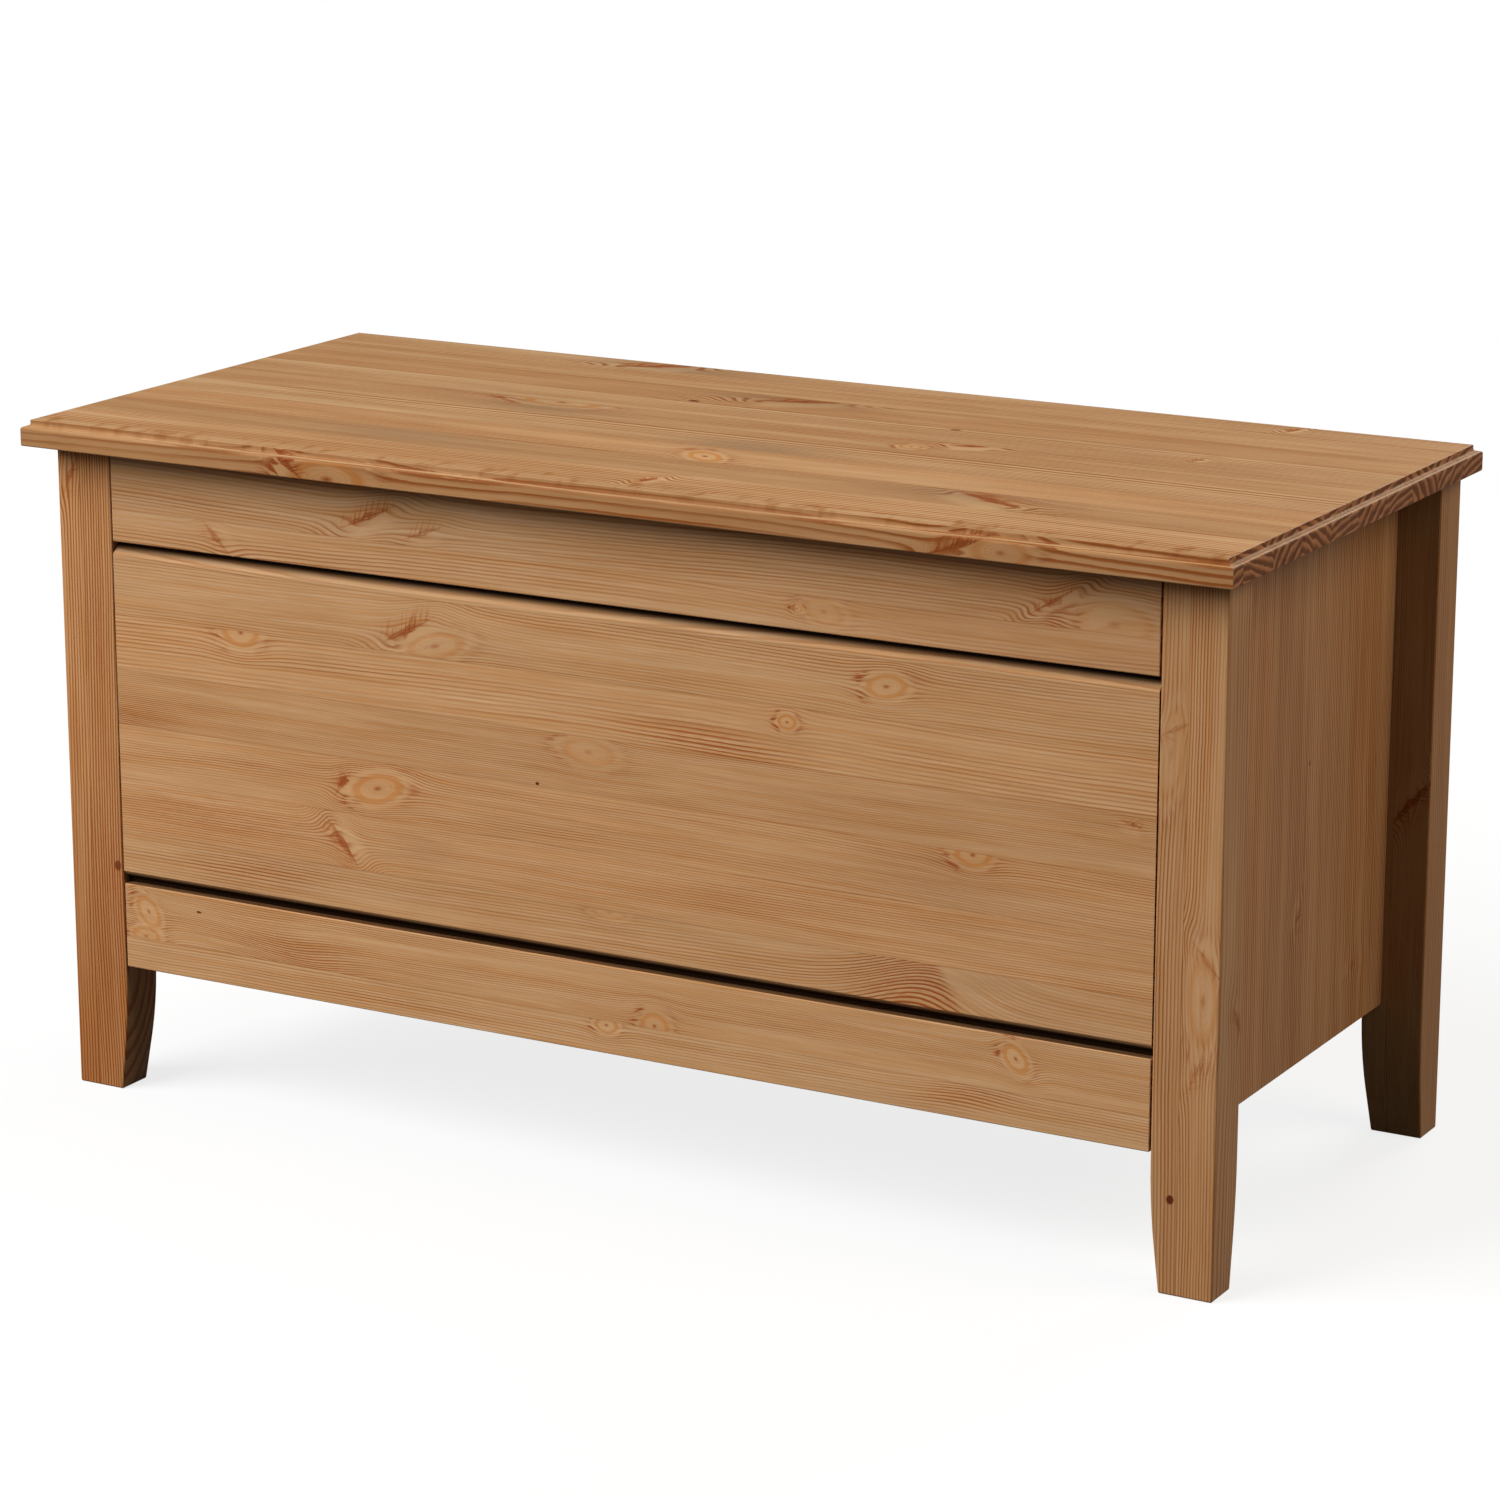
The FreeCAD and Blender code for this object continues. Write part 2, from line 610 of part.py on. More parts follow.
def stay_rivet(side):
    """The rivet that a stay arm turns on, with a head at each end."""
    body = new_body(f"{SIDE_NAMES[side]}_stay_rivet", side * inner_side, pivot_y, pivot_z)
    outer_head = arm_outer - size.stay_clearance - size.head_thick
    rod(body, "Additive", "outer_head", (-side * outer_head, ZERO, ZERO), (-side, 0, 0),
        size.head_radius, size.head_thick)
    rod(body, "Additive", "shank", (-side * outer_head, ZERO, ZERO), (-side, 0, 0),
        size.rivet_radius, ear_inner - outer_head)
    rod(body, "Additive", "inner_head", (-side * ear_inner, ZERO, ZERO), (-side, 0, 0),
        size.head_radius, size.head_thick)


def stay_stud(side):
    """The shouldered stud in the side panel that a stay arm slides on."""
    body = new_body(f"{SIDE_NAMES[side]}_stay_stud", side * inner_side, stud_y, stud_z)
    rod(body, "Additive", "point", (side * size.stud_bite, ZERO, ZERO), (-side, 0, 0),
        size.stud_radius, size.stud_bite + ear_outer)
    rod(body, "Additive", "collar", (ZERO, ZERO, ZERO), (-side, 0, 0), size.head_radius, size.stud_collar)
    rod(body, "Additive", "head", (-side * ear_outer, ZERO, ZERO), (-side, 0, 0),
        size.head_radius, size.head_thick)


def rounded_bar(body, kind, name, start, end, radius, thickness):
    """Add or cut a bar with round ends that lies along the body's own X axis."""
    block(body, kind, f"{name}_middle", (start, end), (-radius, radius), thickness)
    for place, centre in (("near", start), ("far", end)):
        rod(body, kind, f"{name}_{place}_end", (centre, ZERO, thickness[0]), (0, 0, 1), radius,
            thickness[1] - thickness[0])


def stay_arm(side):
    """The slotted arm of a stay, from its rivet along its length."""
    body = new_body(f"{SIDE_NAMES[side]}_stay_arm", side * (inner_side - arm_outer), pivot_y, pivot_z)
    along = FreeCAD.Vector(0, stud_y.value - pivot_y.value, stud_z.value - pivot_z.value).normalize()
    inwards = FreeCAD.Vector(-side, 0, 0)
    turn = FreeCAD.Rotation(along, inwards.cross(along), inwards, "ZXY")
    body.Placement = FreeCAD.Placement(body.Placement.Base, turn)
    slot_radius = size.stud_radius + size.stay_clearance
    far_end = stay_long + size.stay_clearance
    rounded_bar(body, "Additive", "arm", ZERO, far_end, size.stay_end_radius, (ZERO, size.stay_thick))
    rounded_bar(body, "Subtractive", "slot", stay_short - size.stay_clearance, far_end, slot_radius,
                (-size.overrun, size.stay_thick + size.overrun))
    rod(body, "Subtractive", "rivet_bore", (ZERO, ZERO, -size.overrun), (0, 0, 1),
        size.rivet_radius + size.pin_clearance, size.stay_thick + 2 * size.overrun)


def group_of_rods(label, places, direction, radius, length):
    """Alike round pieces that share one node."""
    rods = []
    for number, (x, y, z) in enumerate(places):
        piece = doc.addObject("Part::Cylinder", f"{label}_{number}")
        piece.Placement = FreeCAD.Placement(FreeCAD.Vector(), turn_to(direction))
        bind(piece, Radius=radius, Height=length, base_x=x, base_y=y, base_z=z)
        rods.append(piece)
    group = doc.addObject("Part::Compound", label)
    group.Label = label
    group.Links = rods
    doc.recompute()


def screw_solid(head, sink, radius, tip, length):
    """A countersunk screw with its head's top at the origin and its point down +Z."""
    profile = Part.makePolygon([FreeCAD.Vector(x, 0, z) for x, z in (
        (0, 0), (head.value, 0), (radius.value, sink.value), (radius.value, length.value - tip.value),
        (0, length.value), (0, 0))])
    return Part.Face(profile).revolve(FreeCAD.Vector(), FreeCAD.Vector(0, 0, 1), 360)


def group_of_screws(label, solid, places):
    """Alike screws that share one node: each place is a point and a direction."""
    copies = []
    for (x, y, z), direction in places:
        copy = solid.copy()
        copy.Placement = FreeCAD.Placement(FreeCAD.Vector(x.value, y.value, z.value), turn_to(direction))
        copies.append(copy)
    group = doc.addObject("Part::Feature", label)
    group.Label = label
    group.Shape = Part.makeCompound(copies)


def carcass():
    """The legs, rails, panels, floor and cleats, with what joins them."""
    for side in (RIGHT, LEFT):
        for face in (FRONT, REAR):
            leg(side, face)
        side_panel(side)
        short_cleat(side)
    rail("front_top_rail", FRONT, top_rail_low, leg_height, size.tongue_thick, False)
    bottom_rails = {FRONT: rail("front_bottom_rail", FRONT, size.rail_rise, bottom_rail_high,
                                size.tongue_thick, True)}
    front_panel()
    hinge_rail = rail("back_top_rail", REAR, top_rail_low, leg_height, size.back_panel_thick, False)
    bottom_rails[REAR] = rail("back_bottom_rail", REAR, size.rail_rise, bottom_rail_high,
                              size.back_panel_thick, True)
    back_panel()
    floor_panel()
    for side in (RIGHT, LEFT):
        for number, (x, y) in enumerate(hinge_screw_places(side)):
            screw_hole(hinge_rail, f"{SIDE_NAMES[side]}_hinge_hole_{number}",
                       (x, y - case_face[REAR], size.top_rail_height), (0, 0, -1),
                       size.fine_screw_radius, size.fine_screw_length)
    for face in (FRONT, REAR):
        long_cleat(face)
        for number, share in enumerate(LONG_CLEAT_SCREW_SHARES):
            screw_hole(bottom_rails[face], f"cleat_hole_{number}",
                       (share * long_cleat_half, -face * size.rail_thick,
                        cleat_low + size.cleat_height / 2 - size.rail_rise), (0, face, 0),
                       size.wood_screw_radius, size.wood_screw_bite)
    dowel_middle = inner_side - size.board_gap / 2
    group_of_rods("rail_dowels", [
        (side * dowel_middle - size.dowel_length / 2, case_face[face] - face * size.rail_thick / 2, height)
        for side in (RIGHT, LEFT) for face in (FRONT, REAR) for height in dowel_heights()],
        (1, 0, 0), size.dowel_radius, size.dowel_length)


def lid():
    """The lid with its battens and bumpers."""
    lid_board()
    for side in (RIGHT, LEFT):
        lid_batten(side)
    thickness = lid_gap - size.bumper_seat
    group_of_rods("lid_bumpers", [
        (side * (case_side - size.leg_width / 2), case_face[FRONT] + size.leg_depth / 2,
         lid_bottom - thickness) for side in (RIGHT, LEFT)], (0, 0, 1), size.bumper_radius, thickness)


def ironmongery():
    """The hinges, the stays and all screws."""
    rail_screw_top = leg_height + size.leaf_thick
    lid_screw_top = lid_bottom - size.leaf_thick
    bracket_screw_top = lid_bottom - size.stay_thick
    for side in (RIGHT, LEFT):
        hinge_leaf(side, "hinge_rail_leaf", leg_height, 0, rail_screw_top, (0, 0, -1))
        hinge_leaf(side, "hinge_lid_leaf", lid_screw_top, 1, lid_screw_top, (0, 0, 1))
        hinge_pin(side)
        stay_bracket(side)
        stay_rivet(side)
        stay_stud(side)
        stay_arm(side)
    fine_screw = screw_solid(size.fine_screw_head, size.leaf_thick, size.fine_screw_radius,
                             size.fine_screw_tip, size.fine_screw_length)
    sides = (RIGHT, LEFT)
    group_of_screws("hinge_rail_screws", fine_screw, [
        ((x, y, rail_screw_top), (0, 0, -1)) for side in sides for x, y in hinge_screw_places(side)])
    group_of_screws("hinge_lid_screws", fine_screw, [
        ((x, y, lid_screw_top), (0, 0, 1)) for side in sides for x, y in hinge_screw_places(side)])
    group_of_screws("stay_bracket_screws", fine_screw, [
        ((x, y, bracket_screw_top), (0, 0, 1)) for side in sides for x, y in bracket_screw_places(side)])
    batten_screw = screw_solid(size.wood_screw_head, size.wood_screw_sink, size.wood_screw_radius,
                               size.wood_screw_tip, size.batten_thick + size.wood_screw_bite)
    group_of_screws("batten_screws", batten_screw, [
        ((side * batten_x, inner_middle + share * batten_half, lid_bottom - size.batten_thick),
         (0, 0, 1)) for side in sides for share in BATTEN_SCREW_SHARES])
    cleat_screw = screw_solid(size.wood_screw_head, size.wood_screw_sink, size.wood_screw_radius,
                              size.wood_screw_tip, size.cleat_width + size.wood_screw_bite)
    cleat_middle = cleat_low + size.cleat_height / 2
    places = [((share * long_cleat_half, inner_face[face] - face * size.cleat_width, cleat_middle),
               (0, face, 0)) for face in (FRONT, REAR) for share in LONG_CLEAT_SCREW_SHARES]
    places += [((side * (inner_side - size.cleat_width), inner_middle + share * short_cleat_half,
                 cleat_middle), (side, 0, 0)) for side in sides for share in SHORT_CLEAT_SCREW_SHARES]
    group_of_screws("cleat_screws", cleat_screw, places)


def sub_parts():
    """The objects that are pieces of the chest, not steps on the way to one."""
    pieces = [thing for thing in doc.Objects if thing.TypeId in
              ("PartDesign::Body", "Part::Compound", "Part::Feature")]
    return sorted(pieces, key=lambda piece: piece.Label)


def check_and_write():
    """Stop if anything failed, then write each piece to its own file."""
    for thing in doc.Objects:
        if "Invalid" in thing.State or "Error" in thing.State:
            raise RuntimeError(f"{thing.Label} failed: {thing.State}")
    for piece in sub_parts():
        if piece.Shape.isNull() or not piece.Shape.isValid() or not piece.Shape.Solids:
            raise RuntimeError(f"{piece.Label} has no valid solid")
        if piece.TypeId == "PartDesign::Body" and len(piece.Shape.Solids) != 1:
            raise RuntimeError(f"{piece.Label} is in {len(piece.Shape.Solids)} pieces")
    os.makedirs("parts", exist_ok=True)
    for piece in sub_parts():
        piece.Shape.exportStep(f"parts/{piece.Label}.step")
    print(len(sub_parts()), "pieces written")


carcass()
lid()
ironmongery()
doc.recompute()
check_and_write()
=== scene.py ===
"""The looks of a pine linen chest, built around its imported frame."""

import logging
import math
from collections.abc import Callable, Mapping, Sequence
from dataclasses import dataclass, field
from enum import Enum
from functools import cache
from typing import Any, ClassVar

import bpy
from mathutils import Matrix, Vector


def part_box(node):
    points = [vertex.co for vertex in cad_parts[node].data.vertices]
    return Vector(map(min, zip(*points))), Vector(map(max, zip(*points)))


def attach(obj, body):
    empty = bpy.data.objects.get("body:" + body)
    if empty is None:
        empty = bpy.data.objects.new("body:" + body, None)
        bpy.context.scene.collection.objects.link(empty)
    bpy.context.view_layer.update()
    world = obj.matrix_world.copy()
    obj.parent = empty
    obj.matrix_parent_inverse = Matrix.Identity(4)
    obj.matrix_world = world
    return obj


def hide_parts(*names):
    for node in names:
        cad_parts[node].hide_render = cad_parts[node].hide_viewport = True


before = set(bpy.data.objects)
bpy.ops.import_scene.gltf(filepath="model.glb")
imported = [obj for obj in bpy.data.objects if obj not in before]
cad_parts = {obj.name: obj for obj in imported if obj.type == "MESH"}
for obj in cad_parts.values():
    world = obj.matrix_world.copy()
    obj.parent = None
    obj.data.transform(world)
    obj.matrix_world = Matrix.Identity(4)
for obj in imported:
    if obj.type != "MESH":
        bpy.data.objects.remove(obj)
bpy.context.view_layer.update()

MM = 0.001
Colour = tuple[float, float, float]
Place = tuple[float, float, float]
Socket = bpy.types.NodeSocket
Material = bpy.types.Material
Tree = bpy.types.NodeTree

log = logging.getLogger("linen_chest")


def operation(name: str, swapped: bool = False) -> Callable[..., "Value"]:
    """A method that works on a value and other numbers through one Math node.

    Args:
        name: The node's operation.
        swapped: Whether the other numbers come before the value.

    Returns:
        The method.
    """
    def method(value: "Value", *others: "Number") -> "Value":
        """Add the node and give its result."""
        numbers = (*others, value) if swapped else (value, *others)
        return value.graph.math(name, *numbers)

    return method


class Value:
    """A number that a node gives; Python's operators on it add Math nodes."""

    __add__ = __radd__ = operation("ADD")
    __sub__ = operation("SUBTRACT")
    __rsub__ = operation("SUBTRACT", swapped=True)
    __mul__ = __rmul__ = operation("MULTIPLY")
    __truediv__ = operation("DIVIDE")
    __pow__ = operation("POWER")
    __abs__ = operation("ABSOLUTE")
    floor = operation("FLOOR")
    fraction = operation("FRACT")
    root = operation("SQRT")
    at_most = operation("MINIMUM")
    at_least = operation("MAXIMUM")
    is_near = operation("COMPARE")

    def __init__(self, graph: "Graph", socket: Socket) -> None:
        """Wrap a socket of a graph."""
        self.graph = graph
        self.socket = socket

    def bell(self) -> "Value":
        """One at zero, falling off both ways as a bell."""
        return self.graph.math("EXPONENT", self * self * -1.0)

    def rise(self, low: float, high: float) -> "Value":
        """A smooth step.

        Args:
            low: Where the step starts from zero.
            high: Where it reaches one.

        Returns:
            The step's height.
        """
        sockets = {"Value": self, "From Min": low, "From Max": high}
        node = self.graph.node("ShaderNodeMapRange", {"interpolation_type": "SMOOTHSTEP"}, sockets)
        return Value(self.graph, node.outputs["Result"])

    def fall(self, low: float, high: float) -> "Value":
        """One minus the smooth step from low to high."""
        return 1.0 - self.rise(low, high)


Number = Value | float
Input = Value | Socket | float | Sequence[float]


class Graph:
    """A node tree, with one method that adds any node to it."""

    def __init__(self, tree: Tree) -> None:
        """Wrap a node tree."""
        self.tree = tree

    def node(self, kind: str, settings: Mapping[str, Any] | None = None,
             sockets: Mapping[str, Input] | None = None) -> bpy.types.Node:
        """Add a node.

        Args:
            kind: The node's type.
            settings: Properties of the node, set before its sockets.
            sockets: Values or links for its inputs, by identifier or name.

        Returns:
            The new node.
        """
        node = self.tree.nodes.new(kind)
        for name, setting in (settings or {}).items():
            setattr(node, name, setting)
        for key, given in (sockets or {}).items():
            found = [socket for socket in node.inputs if socket.identifier == key]
            socket = found[0] if found else node.inputs[key]
            if isinstance(given, Value):
                self.tree.links.new(given.socket, socket)
            elif isinstance(given, Socket):
                self.tree.links.new(given, socket)
            else:
                socket.default_value = given
        return node

    def math(self, operation: str, *numbers: Number) -> Value:
        """Work on numbers in a Math node.

        Args:
            operation: The node's operation.
            numbers: Up to three numbers.

        Returns:
            The result.
        """
        sockets = dict(zip(("Value", "Value_001", "Value_002"), numbers))
        node = self.node("ShaderNodeMath", {"operation": operation}, sockets)
        return Value(self, node.outputs["Value"])

    def vector(self, x: Number, y: Number, z: Number = 0.0) -> Socket:
        """Three numbers as one vector."""
        return self.node("ShaderNodeCombineXYZ", None, {"X": x, "Y": y, "Z": z}).outputs["Vector"]

    def parts(self, vector: Socket) -> tuple[Value, Value, Value]:
        """A vector's three numbers."""
        node = self.node("ShaderNodeSeparateXYZ", None, {"Vector": vector})
        return tuple(Value(self, socket) for socket in node.outputs)

    def noise(self, place: Sequence[Number], detail: float = 2.0, roughness: float = 0.5) -> Value:
        """Smooth noise about zero, from -0.5 to 0.5.

        Args:
            place: Two or three numbers, in units of the noise's grain.
            detail: Number of finer layers.
            roughness: Weight of each finer layer.

        Returns:
            The noise there.
        """
        sockets = {"Vector": self.vector(*place), "Scale": 1.0, "Detail": detail, "Roughness": roughness}
        return Value(self, self.node("ShaderNodeTexNoise", None, sockets).outputs["Fac"]) - 0.5

    def chance(self, number: Value) -> tuple[Value, Value, Value]:
        """Draw the random numbers that belong to a number.

        Args:
            number: The number, such as a stave's.

        Returns:
            Three random numbers from 0 to 1.
        """
        node = self.node("ShaderNodeTexWhiteNoise", {"noise_dimensions": "1D"}, {"W": number})
        split = self.node("ShaderNodeSeparateColor", None, {"Color": node.outputs["Color"]})
        return tuple(Value(self, socket) for socket in split.outputs)

    def use(self, group: Tree, sockets: Mapping[str, Input]) -> dict[str, Value]:
        """The outputs of a group of nodes, by name."""
        node = self.node("ShaderNodeGroup", {"node_tree": group}, sockets)
        return {socket.name: Value(self, socket) for socket in node.outputs}

    def mix(self, factor: Number, first: Input, second: Input, blend: str = "MIX") -> Socket:
        """Two colours mixed.

        Args:
            factor: Share of the second colour.
            first: The colour below, a link or three numbers.
            second: The colour above.
            blend: How they blend.

        Returns:
            The mixed colour.
        """
        sockets = {"Factor_Float": factor, "A_Color": opaque(first), "B_Color": opaque(second)}
        settings = {"data_type": "RGBA", "blend_type": blend, "clamp_factor": True}
        node = self.node("ShaderNodeMix", settings, sockets)
        return next(socket for socket in node.outputs if socket.identifier == "Result_Color")

    def bump(self, height: Number, strength: float, depth: float) -> Socket:
        """A normal that follows a height.

        Args:
            height: The height, in units of depth.
            strength: How much of it shows.
            depth: The depth that a height of one stands for, in metres.

        Returns:
            The normal.
        """
        sockets = {"Height": height, "Strength": strength, "Distance": depth}
        return self.node("ShaderNodeBump", None, sockets).outputs["Normal"]


def opaque(colour: Input) -> Input:
    """A colour of three numbers with its alpha; a link as it is."""
    return (*colour, 1.0) if isinstance(colour, tuple) else colour


class Surface(Graph):
    """A material's node tree around one Principled shader."""

    def __init__(self, name: str) -> None:
        """Start a material with a bare tree.

        Args:
            name: The material's name.
        """
        self.material = bpy.data.materials.new(name)
        self.material.use_nodes = True
        super().__init__(self.material.node_tree)
        self.tree.nodes.clear()

    def place(self) -> tuple[Value, Value, Value]:
        """Find where a point lies on the chest.

        Returns:
            Its place in millimetres.
        """
        coordinates = self.node("ShaderNodeTexCoord").outputs["Object"]
        sockets = {"Vector": coordinates, "Scale": 1.0 / MM}
        scaled = self.node("ShaderNodeVectorMath", {"operation": "SCALE"}, sockets)
        return self.parts(scaled.outputs["Vector"])

    def facing(self) -> tuple[Value, Value, Value]:
        """The surface's own direction, in the piece's own axes."""
        return self.parts(self.node("ShaderNodeTexCoord").outputs["Normal"])

    def close(self, **sockets: Input) -> Material:
        """Add the shader and the output.

        Args:
            sockets: The shader's inputs, with underscores for spaces.

        Returns:
            The finished material.
        """
        named = {name.replace("_", " "): given for name, given in sockets.items()}
        shader = self.node("ShaderNodeBsdfPrincipled", None, named)
        self.node("ShaderNodeOutputMaterial", None, {"Surface": shader.outputs["BSDF"]})
        return self.material


class KnotGroup(Graph):
    """A group of nodes that is drawn once, and used for each knot with the knot's own sizes."""

    def __init__(self, name: str, *inputs: str) -> None:
        """Start the group.

        Args:
            name: The group's name.
            inputs: Names of its inputs, which are numbers.
        """
        super().__init__(bpy.data.node_groups.new(name, "ShaderNodeTree"))
        for each in inputs:
            self.tree.interface.new_socket(each, in_out="INPUT", socket_type="NodeSocketFloat")
        self.given = self.node("NodeGroupInput")

    def values(self) -> list[Value]:
        """The group's inputs, in the order of their names."""
        return [Value(self, socket) for socket in self.given.outputs if socket.name]

    def close(self, **results: Value) -> Tree:
        """End the group.

        Args:
            results: Its outputs, by name.

        Returns:
            The group.
        """
        for name in results:
            self.tree.interface.new_socket(name, in_out="OUTPUT", socket_type="NodeSocketFloat")
        self.node("NodeGroupOutput", None, results)
        return self.tree


@cache
def oval_group() -> Tree:
    """Find a point's place in a knot's oval.

    Returns:
        A group whose distance is one on the oval's rim.
    """
    group = KnotGroup("knot_oval", "along", "across", "wobble", "here", "place_along", "place_across",
                      "half_length", "half_width", "slant", "strength")
    (along, across, wobble, here, place_along, place_across,
     half_length, half_width, slant, strength) = group.values()
    ahead, aside = along - place_along, across - place_across
    cosine, sine = group.math("COSINE", slant), group.math("SINE", slant)
    lengthwise = (ahead * cosine + aside * sine) / half_length
    crosswise = (aside * cosine - ahead * sine) / half_width
    distance = (lengthwise * lengthwise + crosswise * crosswise).root() + wobble * 0.12
    near = (distance * 0.68).bell() * here * strength
    return group.close(lengthwise=lengthwise, crosswise=crosswise, distance=distance, near=near)


@cache
def eye_group() -> Tree:
    """Draw a round knot: a heart, rings, an orange band, a pale halo and red lashes.

    Returns:
        A group that gives the knot's marks.
    """
    group = KnotGroup("knot_eye", "lengthwise", "crosswise", "distance", "near", "here", "hair", "strength")
    lengthwise, crosswise, distance, near, here, hair, strength = group.values()
    core = distance.fall(0.72, 0.98) * here
    band = ((distance - 0.84) * 6.0).bell() * here
    halo = ((distance - 1.18) * 4.2).bell() * here
    rings = (distance * 5.3).fraction().rise(0.35, 0.85) * core
    heart = (lengthwise * 7.0).bell() * (crosswise * 7.0).bell() * here
    rim = ((distance - 1.45) * 3.4).bell() * abs(lengthwise).rise(0.55, 1.0)
    lashes = rim * (lengthwise.fall(-0.6, 0.6) * 0.6 + 0.4) * hair * here
    return group.close(
        boost=near * 0.7,
        cover=core * 0.9 + halo * 0.5,
        pale=(core * 0.35 + halo * 0.35) * strength,
        orange=(band * 0.75 + rings * 0.22) * strength,
        red=(heart * 0.8 + lashes * 0.95) * strength)


@cache
def feather_group() -> Tree:
    """Draw a knot cut lengthwise: a dark streaked core with barbs on one side of it.

    Returns:
        A group that gives the knot's marks.
    """
    group = KnotGroup("knot_feather", "lengthwise", "crosswise", "near", "here", "wobble", "half_length",
                      "half_width", "strength", "seed")
    lengthwise, crosswise, near, here, wobble, half_length, half_width, strength, seed = group.values()
    window = abs(lengthwise).fall(0.35, 1.05) * here * strength
    swept = lengthwise * half_length - crosswise * half_width * 0.8 + wobble * 3.0
    barbs = group.noise((swept / 1.7, crosswise * half_width / 18.0, seed), 1.0).rise(0.0, 0.15)
    streaks = group.noise((lengthwise * half_length / 11.0, crosswise * half_width / 1.1), 2.0)
    core = (abs(crosswise * 2.6 - 0.4) + abs(lengthwise) + wobble * 0.7).fall(0.45, 1.10) * here
    core = core * streaks.rise(-0.22, 0.08) * strength
    hairs = crosswise.rise(-0.15, 0.2) * crosswise.fall(0.2, 1.9) * window
    under = ((crosswise + 0.80) * 1.7).bell() * window
    return group.close(
        boost=near * 0.4,
        cover=under * 0.8,
        pale=under * 0.35,
        orange=hairs * 0.36,
        red=core * 1.05 + barbs * hairs * 0.80,
        dark=core * barbs * 0.35)


class Axis(Enum):
    """An axis of the chest."""

    X = 0
    Y = 1
    Z = 2


class Where(Enum):
    """The side of a board that a knot shows on; an edge's number is the way it looks."""

    FACE = 0
    LOW_EDGE = -1
    HIGH_EDGE = 1


class KnotKind(Enum):
    """How a branch, or what it left, shows in a board."""

    EYE = "cut across, as rings in an oval"
    FEATHER = "cut along its length, as a dark spine with hairs"
    STREAK = "close by, as grain drawn together"
    SMOKE = "close below, as a grey bruise"
    STAIN = "darker heartwood"
    RIPPLE = "a row of dark patches"
    SPECK = "a dead twig, as a dark dot"


@dataclass(frozen=True)
class Knot:
    """A knot's place and size on its board, in millimetres and degrees."""

    kind: KnotKind
    along: float
    across: float
    half_length: float
    half_width: float
    slant: float = 0.0
    strength: float = 1.0
    on: Where = Where.FACE


@dataclass(frozen=True)
class PineTones:
    """The colours of stained and oiled pine."""

    early: Colour = (0.508, 0.292, 0.143)
    late: Colour = (0.310, 0.108, 0.030)
    amber: Colour = (0.94, 0.80, 0.62)
    knot_pale: Colour = (0.550, 0.318, 0.150)
    knot_orange: Colour = (0.470, 0.200, 0.062)
    knot_red: Colour = (0.300, 0.080, 0.022)
    knot_dark: Colour = (0.120, 0.026, 0.009)
    smoke: Colour = (0.230, 0.132, 0.072)
    stain: Colour = (0.78, 0.62, 0.48)
    end_dark: Colour = (0.160, 0.054, 0.020)
    end_light: Colour = (0.450, 0.180, 0.074)


@dataclass(frozen=True)
class Streaks:
    """Noise that is drawn out along the grain. Lengths are in millimetres."""

    length: float
    width: float
    detail: float = 2.0
    roughness: float = 0.5

    def at(self, along: Value, across: Value, through: Value, shift: Number | None = None) -> Value:
        """The noise at a place on a board.

        Args:
            along: The place along the grain.
            across: The place across it.
            through: The depth.
            shift: A number that sets one stave's or board's noise apart.

        Returns:
            The noise there.
        """
        depth = through / self.width
        place = (along / self.length, across / self.width, depth if shift is None else depth + shift)
        return along.graph.noise(place, self.detail, self.roughness)


@dataclass(frozen=True)
class PineGrain:
    """How pine's grain is drawn, and how much each part of it shows. Lengths are in millimetres."""

    wobble: Streaks = Streaks(7.0, 3.5, 3.0)
    hair: Streaks = Streaks(12.0, 1.3)
    fibre: Streaks = Streaks(24.0, 0.7, 3.0, 0.6)
    strand: Streaks = Streaks(70.0, 2.2, 3.0, 0.6)
    amber: Streaks = Streaks(150.0, 3.4, 3.0, 0.6)
    blotch: Streaks = Streaks(140.0, 26.0)
    drift: float = 24.0
    drift_length: float = 600.0
    sway: float = 2.4
    sway_length: float = 95.0
    sway_width: float = 45.0
    pith_gap: float = 14.0
    pace: float = 1.3
    pace_width: float = 9.0
    band_length: float = 330.0
    band_width: float = 13.0
    arc_stretch: float = 1.9
    arc_flatness: float = 0.2
    seam_width: float = 0.45
    seam_shade: float = 0.16
    fibre_shade: float = 0.26
    strand_shade: float = 0.30
    blotch_shade: float = 0.22
    stave_shade: float = 0.11
    stave_warmth: float = 0.05
    green_depth: float = 1.35
    blue_depth: float = 1.8
    roughness: float = 0.46
    gloss: float = 0.03
    relief: float = 0.25


@dataclass
class KnotMarks:
    """How the knots of a board colour it at a point."""

    boost: Number = 0.0
    cover: Number = 0.0
    pale: Number = 0.0
    orange: Number = 0.0
    red: Number = 0.0
    dark: Number = 0.0
    smoke: Number = 0.0
    stain: Number = 0.0

    def add(self, parts: Mapping[str, Value]) -> None:
        """Add one knot's marks, by name."""
        for name, part in parts.items():
            setattr(self, name, part + getattr(self, name))


@dataclass(frozen=True)
class Spot:
    """Where a point lies on a board, in millimetres, and the noise there."""

    along: Value
    across: Value
    through: Value
    stave: Value
    wobble: Value
    lean: Value
    on_face: Value


@dataclass(frozen=True)
class KnotTrace:
    """Where a point lies in a knot's own oval."""

    knot: Knot
    here: Value
    lengthwise: Value
    crosswise: Value
    distance: Value
    near: Value


@dataclass(frozen=True)
class Rings:
    """The growth rings at a point of a board."""

    radius: Value
    late: Value
    arc: Value


